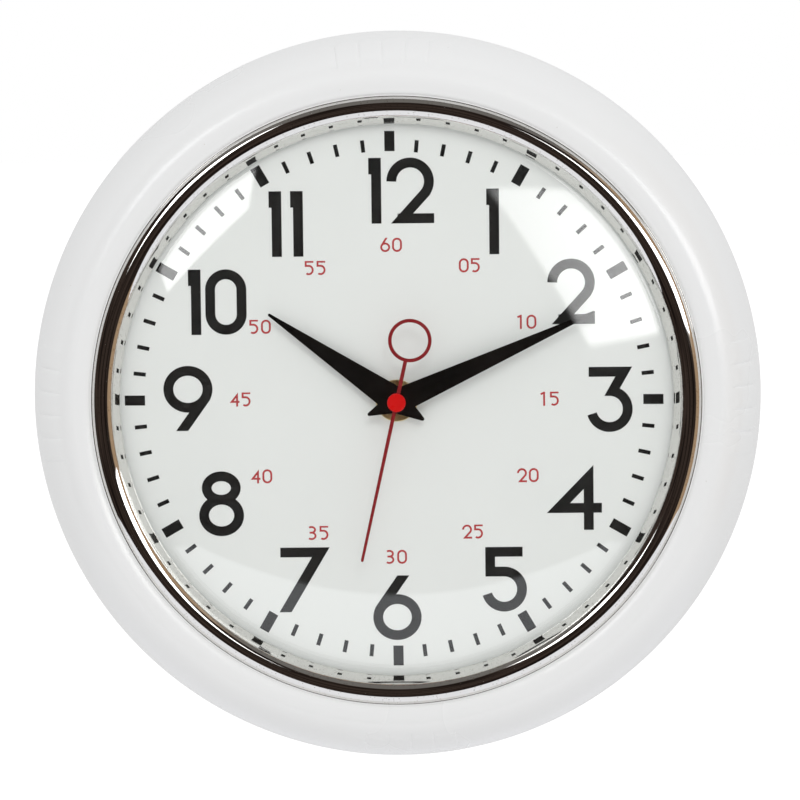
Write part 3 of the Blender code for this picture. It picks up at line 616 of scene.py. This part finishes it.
def case_outline(fine):
    """The case's outside: seat, cove, crest, rounded shoulder, side and rear rim."""
    cove_steps, shoulder_steps, rim_steps = (14, 44, 8) if fine else (2, 10, 1)
    points = [(LIP_R, SEAT_HEIGHT), (SEAT_R, SEAT_HEIGHT)]
    rise = CASE_FRONT - SEAT_HEIGHT
    for i in range(1, cove_steps):
        across, up = polar(1, 180 - 90 * i / cove_steps)
        points.append((CREST_R + (CREST_R - SEAT_R) * across, SEAT_HEIGHT + rise * up**COVE_POWER))
    power = 2 / SHOULDER_POWER
    for i in range(shoulder_steps + 1):
        angle = math.radians(90 - 90 * i / shoulder_steps)
        out, up = math.cos(angle) ** power, math.sin(angle) ** power
        radius = CREST_R + (CASE_R - CREST_R) * max(0.0, out)
        points.append((radius, WIDEST_HEIGHT + (CASE_FRONT - WIDEST_HEIGHT) * up))
    points.append((CASE_R, SIDE_FOOT_HEIGHT))
    for i in range(rim_steps + 1):
        dr, dh = polar(REAR_CORNER, -90 * i / rim_steps)
        points.append((CASE_R - REAR_CORNER + dr, REAR_CORNER + dh))
    return points + [(REAR_RIM_R, 0.0)]


def offset(outline, distance):
    """The same open line, moved to its right by distance."""
    moved = []
    for i, (r, h) in enumerate(outline):
        before, after = outline[max(i - 1, 0)], outline[min(i + 1, len(outline) - 1)]
        along_r, along_h = after[0] - before[0], after[1] - before[1]
        length = math.hypot(along_r, along_h)
        moved.append((r + distance * along_h / length, h - distance * along_r / length))
    return moved


def eased(share):
    """A smooth step from 0 to 1, held outside that range."""
    held = min(1.0, max(0.0, share))
    return held**2 * (3 - 2 * held)


def reed_rise(degrees, radius, height):
    """How far the case is pressed out at that place."""
    from_middle = (degrees + 45) % 90 - 45
    if abs(from_middle) > REED_HALF_BAND or radius < REED_START_R or height < WIDEST_HEIGHT:
        return 0.0
    within = (from_middle + REED_HALF_BAND) / REED_DEG % 1
    side = abs(2 * within - 1)
    along = radius - REED_BULGE * (1 - side**2)
    start = eased((along - REED_START_R) / REED_SOFT_END)
    end = eased((REED_END_R - along) / REED_SOFT_END)
    crown = REED_RISE - (REED_RISE + REED_GROOVE) * side**6
    if abs(from_middle) > REED_HALF_BAND - REED_DEG / 2 and from_middle * (within - 0.5) > 0:
        crown = REED_RISE * (1 - side**6)
    return crown * start * end


def case_angles():
    """Close together across the reeds and a degree apart between them."""
    reed_steps, plain_steps = 24 * REED_COUNT, 71
    band, plain = 2 * REED_HALF_BAND, 90 - 2 * REED_HALF_BAND
    angles = []
    for middle_of_band in range(0, 360, 90):
        start, end = middle_of_band - REED_HALF_BAND, middle_of_band + REED_HALF_BAND
        angles += [start + band * i / reed_steps for i in range(reed_steps + 1)]
        angles += [end + plain * i / plain_steps for i in range(1, plain_steps)]
    return angles


def case_shell(slots):
    outside = case_outline(True)
    inside = offset(case_outline(False), SHEET)[::-1]

    def pressed(degrees, radius, height):
        return radius + reed_rise(degrees, radius, height)

    bm = bmesh.new()
    turn(bm, outside + inside, case_angles(), shift=pressed)
    piece("enamel_case", bm, slots["white_enamel"], instead_of=["case_shell"], sharp=40)


def bezel_ring(slots):
    """Flange, rounded bead, and the flank that curves down to the glass."""
    bead = arc(BEAD_CENTRE_R, BEAD_CENTRE_HEIGHT, BEAD_R, 28, 149, 2)
    flank = [(92.15, 40.48), (91.8, 39.85), (91.45, 39.15), (91.12, 38.4), (90.82, 37.6), (90.58, 36.95)]
    foot_r = 0.15
    foot = arc(BEZEL_FOOT_R + foot_r, BEZEL_FOOT_HEIGHT, foot_r, 165, 270, 20)
    under = [(91.6, BEZEL_FOOT_HEIGHT - 0.2), (94.2, SEAT_HEIGHT), (94.8, SEAT_HEIGHT + 0.1)]
    outer = BEZEL_OUTER_R
    flange = [(outer - 0.1, SEAT_HEIGHT + 0.1), (outer, SEAT_HEIGHT + 0.16), (outer, SEAT_HEIGHT + 0.24)]
    bm = bmesh.new()
    turn(bm, bead + flank + foot + under + flange, even(480))
    piece("chrome_bezel", bm, slots["chrome"], instead_of=["bezel_ring"], sharp=30)


def bezel_bosses(slots):
    """The bored bosses behind the bezel that its screws go into."""
    bm = bmesh.new()
    for degrees in BEZEL_FIXINGS:
        centre = polar(FIXING_R, degrees)
        bore = circle(BOSS_BORE_R, 24, centre)
        slab(bm, circle(BOSS_R, 32, centre), BOSS_REAR_HEIGHT, BOSS_FRONT_HEIGHT, [bore])
    piece("bezel_screw_bosses", bm, slots["chrome"])


def lens(slots):
    """A shallow glass dome of even thickness with a flat rim."""
    reach, sag = BEZEL_FOOT_R, LENS_TOP - LENS_RIM_TOP
    sphere_r = (reach**2 + sag**2) / (2 * sag)
    centre = LENS_TOP - sphere_r
    rim_bottom = heights("lens")[0]
    inner_r = sphere_r - LENS_THICK
    inner_reach = math.sqrt(inner_r**2 - (rim_bottom - centre) ** 2)
    rings = 60

    def dome(radius, sphere):
        return radius, centre + math.sqrt(sphere**2 - radius**2)

    profile = [dome(reach * i / rings, sphere_r) for i in range(rings + 1)]
    edge = 0.25
    profile += [(DIAL_R - edge, LENS_RIM_TOP), (DIAL_R, LENS_RIM_TOP - edge)]
    profile += [(DIAL_R, rim_bottom + edge), (DIAL_R - edge, rim_bottom)]
    profile += [dome(inner_reach * i / rings, inner_r) for i in range(rings, -1, -1)]
    bm = bmesh.new()
    spun(bm, profile, 288, facing_out)
    piece("glass_lens", bm, slots["glass"], instead_of=["lens"], sharp=20)


def gasket(slots):
    low, high = heights("lens_gasket")
    outer = radius_of("lens_gasket")
    half = (high - low) / 2
    middle_h = (low + high) / 2
    profile = arc(outer - half, middle_h, half, -90, 90, 15)
    profile += arc(GASKET_INNER_R + half, middle_h, half, 90, 270, 15)
    bm = bmesh.new()
    turn(bm, profile, even(240))
    piece("gasket_ring", bm, slots["clear_rubber"], instead_of=["lens_gasket"])


def dial_plate(slots):
    low = heights("dial_plate")[0]
    bm = bmesh.new()
    slab(bm, circle(DIAL_R, 240), low, DIAL_FRONT, [circle(DIAL_HOLE_R, 48)])
    piece("dial_disc", bm, slots["dial_white"], instead_of=["dial_plate"])


# ---- digits


def oval(cx, cy, wide, tall, t):
    """A closed oval stroke, as two halves."""
    halves = [arc(cx, cy, wide, -93, 93, 4, tall), arc(cx, cy, wide, 87, 273, 4, tall)]
    return [ribbon(half, t / 2) for half in halves]


def digit_0(w, h, t):
    a = (w - t) / 2
    straight = (h - t) / 2 - a
    right = arc(0, -straight, a, -93, 0) + arc(0, straight, a, 0, 93)
    left = [(-x, y) for x, y in right]
    return [ribbon(right, t / 2), ribbon(left, t / 2)]


def digit_1(w, h, t):
    """A stem with a square flag on its left."""
    flag = rectangle(-w / 2, h / 4, w / 2 - t + 0.01, h / 2)
    return [rectangle(w / 2 - t, -h / 2, w / 2, h / 2), flag]


def digit_2(w, h, t):
    a = (w - t) / 2
    cy = h / 2 - t / 2 - a
    foot = (-w / 2 + 1.1 * t, -h / 2)
    touch = tangent_angle(foot, 0, cy, a, 1)
    start = polar(a, touch)
    top = (start[0], cy + start[1])
    lead = (top[0] + (foot[0] - top[0]) * 0.4, top[1] + (foot[1] - top[1]) * 0.4)
    hook = ribbon(arc(0, cy, a, 180, touch) + [lead], t / 2)
    return [hook, slanted(foot, top, t), rectangle(foot[0], -h / 2, w / 2, -h / 2 + t)]


def digit_3(w, h, t):
    """A level top, a short diagonal, and an open bowl."""
    a = (w - t) / 2
    cy = -h / 2 + t / 2 + a
    bowl = ribbon(arc(0, cy, a, -165, 88), t / 2)
    shoulder = w / 2 - 0.61 * t
    diagonal = slanted((0.01 * w, cy + a - t / 2), (shoulder, h / 2), t)
    return [bowl, diagonal, rectangle(-0.45 * w, h / 2 - t, shoulder, h / 2)]


def digit_4(w, h, t):
    """A triangle with a pointed top, on a stem."""
    stem, bar = 0.35 * w, -0.235 * h
    tip, top = Vector((-w / 2, bar)), Vector((stem, h / 2))
    along = (top - tip).normalized()
    across = Vector((along.y, -along.x)) * t
    rise = (bar + t - tip.y - across.y) / along.y
    inner_low = tip + across + along * rise
    inner_high = tip + across + along * ((stem - t - tip.x - across.x) / along.x)
    inner = [tuple(inner_low), tuple(inner_high), (stem, inner_high.y)]
    diagonal = [tuple(tip), (inner_low.x, bar), *inner, tuple(top)]
    post = rectangle(stem - t, -h / 2, stem, inner_high.y + 0.01)
    return [diagonal, post, rectangle(inner_low.x - 0.01, bar, w / 2, bar + t)]


def digit_5(w, h, t):
    a = (w - t) / 2
    cy = -h / 2 + t / 2 + a
    left = -0.83 * w / 2
    bowl = ribbon(arc(0, cy, a, -164, 90) + [(left + t / 2, cy + a)], t / 2)
    post = rectangle(left, cy + a - t / 2, left + t, h / 2)
    return [bowl, post, rectangle(left, h / 2 - t, 0.82 * w / 2, h / 2)]


def digit_6(w, h, t):
    """An oval with a straight stem that touches its side and is cut level."""
    a, squash = (w - t) / 2, 0.945
    tall = squash * a
    cy = -h / 2 + t / 2 + tall
    top = (0.13 * w, h / 2)
    touch = tangent_angle((top[0], (top[1] - cy) / squash), 0, 0, a, 1)
    start = polar(a, touch)
    return oval(0, cy, a, tall, t) + [slanted((start[0], cy + start[1] * squash), top, t)]


def digit_7(w, h, t):
    half = 0.62 * t
    diagonal = slanted((-w / 2 + half, -h / 2), (w / 2 - half, h / 2), 1.05 * t)
    return [rectangle(0.03 * w - w / 2, h / 2 - t, w / 2 - half, h / 2), diagonal]


def digit_8(w, h, t):
    """Two ovals that share a stroke where they meet, the upper one smaller."""
    a, b = (w - t) / 2, (h - t) / 2
    high_tall = (0.445 * (h + t) - t) / 2
    low_tall = b - high_tall
    upper = oval(0, b - high_tall, 0.83 * a, high_tall, t)
    return oval(0, low_tall - b, a, low_tall, t) + upper


def digit_9(w, h, t):
    return [turned_by(outline, 180) for outline in digit_6(w, h, t)]


def slim_1(w, h, t):
    """A stem with a short slanting flag."""
    stem = w / 2 - t / 2
    flag = ribbon([(-w / 2, h / 2 - 0.17 * h), (stem, h / 2 - t / 2)], t / 2)
    return [flag, rectangle(stem - t / 2, -h / 2, w / 2, h / 2)]


def slim_3(w, h, t):
    """Two bowls, one on the other."""
    a, b = (w - t) / 2, (h - t) / 2
    low_tall, high_tall = 0.53 * b, 0.47 * b
    low_y, high_y = -b + low_tall, b - high_tall
    level = low_y + low_tall
    lower = arc(-0.1 * w, low_y, a, -130, 90, tall=low_tall) + [(-0.3 * w, level)]
    upper = arc(-0.1 * w, high_y, 0.9 * a, 130, -90, tall=high_tall) + [(-0.3 * w, level)]
    return [ribbon(lower, t / 2), ribbon(upper, t / 2)]


def slim_5(w, h, t):
    a = (w - t) / 2
    tall = 1.05 * a
    cy = -h / 2 + t / 2 + tall
    left = -0.38 * w
    bowl = ribbon(arc(-0.08 * w, cy, a, -125, 90, tall=tall) + [(left, cy + tall)], t / 2)
    post = rectangle(left - t / 2, cy + tall - t / 2, left + t / 2, h / 2)
    return [bowl, post, rectangle(left - t / 2, h / 2 - 0.9 * t, 0.4 * w, h / 2)]


DIGITS = [digit_0, digit_1, digit_2, digit_3, digit_4, digit_5, digit_6, digit_7, digit_8, digit_9]
SLIM_DIGITS = [digit_0, slim_1, digit_2, slim_3, digit_4, slim_5, digit_6, digit_7, digit_8, digit_9]
HOUR_WIDTHS = [13.4, 4.1, 15.4, 15.0, 18.0, 14.8, 15.8, 16.7, 14.65, 16.0]

# Each hour numeral: the digits, and the bench x and y of the middle of each
HOUR_NUMERALS = [
    ("12", [(-6.4, 68.4), (5.1, 68.4)]),
    ("1", [(31.8, 58.1)]),
    ("2", [(57.1, 35.1)]),
    ("3", [(69.4, -0.3)]),
    ("4", [(57.7, -32.4)]),
    ("5", [(34.6, -59.1)]),
    ("6", [(-0.5, -68.2)]),
    ("7", [(-30.8, -58.7)]),
    ("8", [(-57.7, -33.4)]),
    ("9", [(-68.1, 1.3)]),
    ("10", [(-65.5, 32.7), (-55.3, 32.7)]),
    ("11", [(-38.9, 57.9), (-31.9, 57.9)]),
]

# Each minute numeral and the bench x and y of its middle
MINUTE_NUMERALS = [
    ("05", 24.2, 43.9),
    ("10", 42.2, 25.3),
    ("15", 49.6, 0.1),
    ("20", 42.6, -24.9),
    ("25", 24.5, -43.3),
    ("30", -0.7, -51.4),
    ("35", -26.1, -43.3),
    ("40", -44.5, -24.5),
    ("45", -51.0, 0.8),
    ("50", -44.3, 24.5),
    ("55", -26.0, 43.5),
    ("60", -1.3, 50.8),
]


def hour_numerals(slots):
    bm = bmesh.new()
    for text, centres in HOUR_NUMERALS:
        for letter, (x, y) in zip(text, centres):
            value = int(letter)
            ink(bm, DIGITS[value](HOUR_WIDTHS[value], HOUR_DIGIT_TALL, HOUR_STROKE), x, y)
    piece("hour_numerals", bm, slots["ink_black"])


def minute_numerals(slots):
    bm = bmesh.new()
    for text, x, y in MINUTE_NUMERALS:
        for letter, side in zip(text, (-1, 1)):
            value = int(letter)
            wide = MINUTE_DIGIT_WIDE * (0.45 if value == 1 else 1)
            outlines = SLIM_DIGITS[value](wide, MINUTE_DIGIT_TALL, MINUTE_STROKE)
            ink(bm, outlines, x + side * MINUTE_PITCH / 2, y)
    piece("minute_numerals", bm, slots["ink_red"])


def minute_track(slots):
    bm = bmesh.new()
    for minute in range(60):
        on_hour = minute % 5 == 0
        half = (HOUR_TICK_WIDE if on_hour else MINUTE_TICK_WIDE) / 2
        end = HOUR_TICK_END_R if on_hour else MINUTE_TICK_END_R
        mark = turned_by(rectangle(-half, TICK_START_R, half, end), -6 * minute, *TRACK_SHIFT)
        (wide, tall), (lean, dip) = TRACK_SCALE, TRACK_SKEW
        printed = [(x * wide + y * lean, y * tall + x * dip) for x, y in mark]
        slab(bm, printed, DIAL_FRONT, DIAL_FRONT + INK)
    piece("minute_track", bm, slots["ink_black"])


# ---- hands and hub


def dart(length, tail, half_width):
    """A pointed hand: widest just past its hub, tapering to a rounded tip and a shorter tail."""
    tip_half, tail_half, widest = 0.45, 0.6, 1.2
    outline = [(half_width, widest)]
    outline += arc(0, length - tip_half, tip_half, 10, 170, 20)
    outline.append((-half_width, widest))
    return outline + arc(0, tail_half - tail, tail_half, 200, 340, 20)


def needle(length, ring_centre, ring_r):
    """The second hand's outline: a needle, a hub, and a ring on a stem."""
    hub_r, base_half, tip_half, stem_half = 2.0, 0.62, 0.46, 0.62
    base = math.degrees(math.acos(base_half / hub_r))
    stem = math.degrees(math.acos(stem_half / hub_r))
    joint = math.degrees(math.asin(stem_half / ring_r))
    outline = arc(0, length - tip_half, tip_half, 0, 180, 30)
    outline += arc(0, 0, hub_r, 180 - base, 180 + stem, 6)
    outline += arc(0, -ring_centre, ring_r, 90 + joint, 450 - joint, 3)
    return outline + arc(0, 0, hub_r, 360 - stem, 360 + base, 6)


def pointed_hands(slots):
    """The hour and the minute hand, each with a hole for its pipe."""
    hour, minute = dart(length=50.5, tail=10.8, half_width=4.5), dart(length=70.7, tail=10.3, half_width=4.1)
    specs = [
        ("hour_dart", hour, "hour_hand", 2.6, HOUR_ANGLE, "hour_work"),
        ("minute_dart", minute, "minute_hand", 1.7, MINUTE_ANGLE, "minute_work"),
    ]
    for name, outline, node, hole_r, angle, body in specs:
        hole = turned_by(circle(hole_r, 32), -angle)
        bm = bmesh.new()
        slab(bm, turned_by(outline, -angle), *heights(node), [hole])
        piece(name, bm, slots["hand_black"], body, [node], bevel=0.07)


def seconds_needle(slots):
    """The red second hand, with a ring as its counterweight."""
    length, ring_centre, ring_r, ring_hole_r, pin_hole_r = 53.3, 20.6, 7.05, 5.9, 0.6
    outline = turned_by(needle(length, ring_centre, ring_r), -SECOND_ANGLE)
    holes = [circle(pin_hole_r, 24), circle(ring_hole_r, 96, (0, -ring_centre))]
    holes = [turned_by(hole, -SECOND_ANGLE) for hole in holes]
    bm = bmesh.new()
    slab(bm, outline, *heights("second_hand"), holes)
    piece("seconds_needle", bm, slots["hand_red"], "seconds_work", ["second_hand"], bevel=0.08)


def red_cap(slots):
    """The cap on the second hand's pin, bored from behind and rounded in front."""
    low, high = heights("second_hand_cap")
    outer = radius_of("second_hand_cap")
    bore_r, bore_deep, foot, edge = 0.62, 1.2, 0.15, 0.45
    profile = [(0, low + bore_deep), (bore_r, low + bore_deep), (bore_r, low)]
    profile += [(outer - foot, low), (outer, low + foot)]
    profile += arc(outer - edge, high - edge, edge, 0, 70, 10)
    profile += [(1.5, high - 0.01), (0, high)]
    bm = bmesh.new()
    spun(bm, profile, 64, facing_out)
    piece("red_cap", bm, slots["cap_red_painted_light"], "seconds_work", ["second_hand_cap"], sharp=30)


def washer(slots):
    """The turned washer that shows round the hands' pipes."""
    low, high = heights("brass_washer")
    outer, edge = radius_of("brass_washer"), 0.22
    profile = [(PIPE_HOLE_R, low), (outer, low), (outer, high - edge), (outer - edge, high)]
    bm = bmesh.new()
    turn(bm, profile + [(PIPE_HOLE_R, high)], even(96))
    piece("turned_washer", bm, slots["brass"], instead_of=["brass_washer"], sharp=25)


def nut(slots):
    """The hexagon nut that holds the movement to the dial."""
    bm = bmesh.new()
    slab(bm, circle(NUT_CORNER_R, 6), *heights("hand_nut"), [circle(PIPE_HOLE_R, 48)])
    piece("hexagon_nut", bm, slots["brass"], instead_of=["hand_nut"], bevel=0.25, segments=3)


# ---- rear


def cross(reach, half):
    """The outline of a cross recess."""
    corner = [(reach, half), (half, half), (half, reach)]
    quarters = [turned_by(corner, 90 * i) for i in range(4)]
    return [point for quarter in quarters for point in quarter]


def rear_screws(slots):
    """Pan-head screws with a cross recess, each turned its own way."""
    dome = [(0.62, 0.0), (0.8, 0.07), (0.93, 0.24), (1.0, 0.55), (1.0, SCREW_HEAD)]
    for number, turn_by in enumerate(SCREW_TURNS, 1):
        node = f"cover_screw_{number}"
        low, high = heights(node)
        spot = middle(node)
        centre = ((spot.x - AXIS.x) / MM, (spot.z - AXIS.z) / MM)
        head_r = radius_of(node)
        bm = bmesh.new()
        rings = [ring_of(bm, circle(head_r * share, 40, centre), low + rise) for share, rise in dome]
        rings += [ring_of(bm, circle(SCREW_SHANK_R, 40, centre), h) for h in (low + SCREW_HEAD, high)]
        mouth = turned_by(cross(RECESS_REACH, RECESS_HALF), turn_by, *centre)
        recess = [ring_of(bm, mouth, low), ring_of(bm, mouth, low + RECESS_DEEP)]
        for lower, upper in (*zip(rings[:4], rings[1:5]), rings[5:], recess):
            wall(bm, lower, upper)
        flat(bm, rings[0], recess[0])
        flat(bm, recess[1])
        flat(bm, rings[4], rings[5])
        flat(bm, rings[6])
        piece(f"cross_screw_{number}", bm, slots["zinc_steel"], instead_of=[node])


def cell(slots):
    """The AA cell: rolled ends, a film with its edge shrunk over them, and the button."""
    low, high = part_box("battery")
    centre = (low + high) / 2
    y, height = (centre.z - AXIS.z) / MM, -centre.y / MM

    def lying(r, x, cosine, sine):
        return x, y + r * cosine, height + r * sine

    x0, x1 = (low.x - AXIS.x) / MM, (high.x - AXIS.x) / MM
    r = (high.z - low.z) / 2 / MM
    shoulder = x1 - 0.95
    profile = [(0, x0 + 0.15), (4.2, x0 + 0.15), (4.4, x0), (r - 1.1, x0), (r - 0.9, x0 + 0.1)]
    profile += [(r - 0.55, x0 + 0.1), (r - 0.2, x0 + 0.25), (r, x0 + 0.6), (r, shoulder - 0.6)]
    profile += [(r - 0.2, shoulder - 0.25), (r - 0.6, shoulder - 0.1), (r - 1.2, shoulder - 0.1)]
    profile += [(r - 1.4, shoulder - 0.35), (3.4, shoulder - 0.35), (2.75, shoulder), (2.7, x1 - 0.2)]
    profile += [(2.45, x1), (0, x1)]
    bm = bmesh.new()
    spun(bm, profile, 72, lying)
    piece("aa_cell", bm, slots["battery_wrap"], "battery", ["battery"], sharp=30)


# ---- studio and camera


class Sky(Graph):
    """The world's node tree, with masks over the directions seen from the clock.

    front is 1 straight ahead and -1 behind. turned and raised are a direction's angles in degrees, to
    the right of straight ahead and above level. across and up say where it meets a plane one unit ahead."""

    def __init__(self, tree):
        super().__init__(tree)
        self.towards = self.node("ShaderNodeTexCoord").outputs["Generated"]
        x, y, z = self.axes(self.towards)
        self.front = self.maths("MULTIPLY", y, -1.0)
        ahead = self.maths("MAXIMUM", self.front, 0.02)
        self.across = self.maths("DIVIDE", x, ahead)
        self.up = self.maths("DIVIDE", z, ahead)
        self.turned = self.maths("DEGREES", self.maths("ARCTAN2", x, self.front))
        self.raised = self.maths("DEGREES", self.maths("ARCSINE", z))
        self.ahead_only = self.above(self.front, 0.1, 0.02)

    def above(self, value, limit, soft):
        return self.ramp(value, limit - soft, limit + soft)

    def below(self, value, limit, soft):
        return self.ramp(value, limit - soft, limit + soft, 1.0, 0.0)

    def all_of(self, *masks):
        product = masks[0]
        for mask in masks[1:]:
            product = self.maths("MULTIPLY", product, mask)
        return product

    def over_line(self, x0, z0, slope):
        """How far a direction lies above a sloping line on the plane ahead."""
        run = self.maths("MULTIPLY", self.maths("SUBTRACT", self.across, x0), slope)
        return self.maths("SUBTRACT", self.maths("SUBTRACT", self.up, z0), run)

    def right_of(self, x0, z0, lean):
        """How far a direction lies to the right of a steep line on the plane ahead."""
        run = self.maths("MULTIPLY", self.maths("SUBTRACT", self.up, z0), lean)
        return self.maths("SUBTRACT", self.maths("SUBTRACT", self.across, x0), run)


def unlit_room(sky):
    """A dark room in front of the clock and a pale one behind it."""
    streaks = sky.ramp(sky.noise(sky.towards, 5.0, 5.0, 0.6), 0.35, 0.65)
    dark = sky.blend(streaks, (0.009, 0.006, 0.005, 1.0), (0.052, 0.037, 0.030, 1.0))
    shade = sky.all_of(sky.above(sky.front, 0.08, 0.05), sky.above(sky.turned, -95, 6))
    shade = sky.all_of(shade, sky.below(sky.turned, 55, 6))
    return sky.blend(shade, grey(0.80), dark)


def ceiling(sky, room):
    overhead = sky.all_of(sky.above(sky.raised, 43, 3), sky.above(sky.front, 0.03, 0.03))
    return sky.blend(overhead, room, (0.17, 0.16, 0.15, 1.0))


def warm_wall(sky, room):
    """A tan wall at the right."""
    between = sky.all_of(sky.above(sky.turned, 50, 5), sky.below(sky.turned, 112, 8))
    wall_here = sky.all_of(between, sky.below(sky.raised, 45, 8), sky.above(sky.front, -0.3, 0.05))
    return sky.blend(wall_here, room, (0.42, 0.29, 0.18, 1.0))


def white_table(sky, room):
    """A white table below the clock, whose far edge rises towards its sides."""
    edge, rise, most_rise = -35.3, 0.0073, 9.0
    squared = sky.maths("MULTIPLY", sky.turned, sky.turned)
    sweep = sky.maths("MINIMUM", sky.maths("MULTIPLY", squared, rise), most_rise)
    table = sky.below(sky.maths("SUBTRACT", sky.raised, sweep), edge, 0.5)
    return sky.blend(table, room, (0.95, 0.96, 1.0, 1.0))


def key_light(sky, room):
    """The key softbox at the upper right, brighter away from its near edge."""
    soft, near_level, far_level = 0.02, 2.3, 4.8
    left_edge = sky.above(sky.right_of(0.276, 0.55, -0.604), 0.0, soft)
    low_edge = sky.above(sky.over_line(0.567, 0.065, 0.14), 0.0, soft)
    high_edge = sky.below(sky.over_line(0.276, 0.555, 0.1), 0.0, soft)
    right_edge = sky.below(sky.across, 1.9, 0.05)
    box = sky.all_of(left_edge, low_edge, high_edge, right_edge, sky.ahead_only)
    glow = sky.ramp(sky.across, 0.25, 0.85, near_level, far_level)
    return sky.blend(box, room, sky.blend(1.0, grey(1.0), glow))


def side_light(sky, room):
    """The side softbox at the upper left."""
    soft, level = 0.012, 4.3
    right_edge = sky.below(sky.across, -0.478, soft)
    low_edge = sky.above(sky.over_line(-0.489, 0.50, 0.887), 0.0, soft)
    left_edge = sky.above(sky.right_of(-0.772, 0.268, -0.6), 0.0, soft)
    high_edge = sky.below(sky.up, 1.0, 0.05)
    box = sky.all_of(right_edge, low_edge, left_edge, high_edge, sky.ahead_only)
    return sky.blend(box, room, grey(level))


def world():
    """White for the camera, soft fill light on matt surfaces, and a room that the gloss shows."""
    made = bpy.data.worlds.new("studio")
    bpy.context.scene.world = made
    made.use_nodes = True
    made.cycles.sampling_method = "NONE"
    made.node_tree.nodes.clear()
    sky = Sky(made.node_tree)
    room = unlit_room(sky)
    for add in (ceiling, warm_wall, white_table, key_light, side_light):
        room = add(sky, room)
    facing = sky.ramp(sky.front, 0.0, 1.0, smooth=False)
    fill = sky.blend(facing, (0.70, 0.705, 0.71, 1.0), (0.885, 0.89, 0.885, 1.0))
    rays = sky.node("ShaderNodeLightPath")
    bounced = sky.maths("GREATER_THAN", rays.outputs["Diffuse Depth"], 0.5)
    seen = sky.blend(bounced, room, fill)
    seen = sky.blend(rays.outputs["Is Camera Ray"], seen, grey(1.0))
    background = sky.node("ShaderNodeBackground")
    sky.feed(background.inputs["Color"], seen)
    output = sky.node("ShaderNodeOutputWorld")
    sky.feed(output.inputs["Surface"], background.outputs[0])


def lamp(name, direction, distance, size, power):
    """A soft lamp aimed at the clock. The gloss shows the world's softboxes instead of it."""
    data = bpy.data.lights.new(name, "AREA")
    data.shape = "RECTANGLE"
    data.size, data.size_y = size
    data.energy = power
    made = linked(name, data)
    towards = Vector(direction).normalized()
    made.location = AXIS + towards * distance
    made.rotation_euler = towards.to_track_quat("Z", "Y").to_euler()
    made.visible_camera = False
    made.visible_glossy = False
    made.visible_transmission = False


def studio():
    lamp("key_softbox", direction=(0.12, -0.8, 0.5), distance=1.3, size=(0.5, 0.4), power=3.2)
    lamp("back_softbox", direction=(0.3, 0.9, 0.6), distance=1.6, size=(1.0, 1.0), power=2.5)
    world()


def pale_floor():
    """A pale floor just under the clock, plain in every view."""
    reach, gap = 9.0, 0.0005
    made, graph, shader, at = new_material("pale_floor")
    graph.finish(shader, graph.blend(graph.noise(at, 3.0), grey(0.17), grey(0.19)), 0.9)
    shader.inputs["Specular IOR Level"].default_value = 0.0
    shader.inputs["Emission Color"].default_value = grey(1.0)
    rays = graph.node("ShaderNodeLightPath")
    strength = graph.ramp(rays.outputs["Is Camera Ray"], 0.0, 1.0, 0.62, 1.0)
    graph.feed(shader.inputs["Emission Strength"], strength)
    bm = bmesh.new()
    bmesh.ops.create_circle(bm, cap_ends=True, segments=96, radius=reach)
    mesh = bpy.data.meshes.new("floor")
    bm.to_mesh(mesh)
    bm.free()
    mesh.materials.append(made)
    floor = linked("floor", mesh)
    floor.location.z = CAD_BOX[0].z - gap
    floor.visible_glossy = False
    floor.visible_transmission = False


def camera():
    """Looks down on the clock's face a little, from straight in front."""
    azimuth, elevation, roll = math.radians(0.7), math.radians(5.0), math.radians(0.6)
    distance = 1.2
    aim = Vector(place(1.16, 0.72, 40.7))
    towards = Vector((
        math.sin(azimuth) * math.cos(elevation),
        -math.cos(azimuth) * math.cos(elevation),
        math.sin(elevation),
    ))
    data = bpy.data.cameras.new("camera")
    data.sensor_width = 36.0
    data.lens = 166.0
    data.clip_end = 100.0
    made = linked("camera", data)
    made.location = aim + towards * distance
    turned = towards.to_track_quat("Z", "Y").to_matrix()
    rolled = turned @ Matrix.Rotation(-roll, 3, "Z")
    made.rotation_euler = rolled.to_euler()
    bpy.context.scene.camera = made


# ---- the whole scene


def dress_frame(slots):
    """Gives each CAD node that stays the finish of its slot."""
    for part in frame["record"]["subparts"]:
        node = frame["nodes"].get(part["node"])
        if node is not None:
            node.data.materials.clear()
            node.data.materials.append(slots[part["material_slot"]])


def main():
    bpy.context.scene.view_settings.view_transform = "Standard"
    bpy.context.scene.cycles.blur_glossy = 0.0
    slots = all_materials()
    dress_frame(slots)
    case_shell(slots)
    bezel_ring(slots)
    bezel_bosses(slots)
    lens(slots)
    gasket(slots)
    dial_plate(slots)
    hour_numerals(slots)
    minute_numerals(slots)
    minute_track(slots)
    pointed_hands(slots)
    seconds_needle(slots)
    red_cap(slots)
    washer(slots)
    nut(slots)
    rear_screws(slots)
    cell(slots)
    studio()
    pale_floor()
    camera()


main()
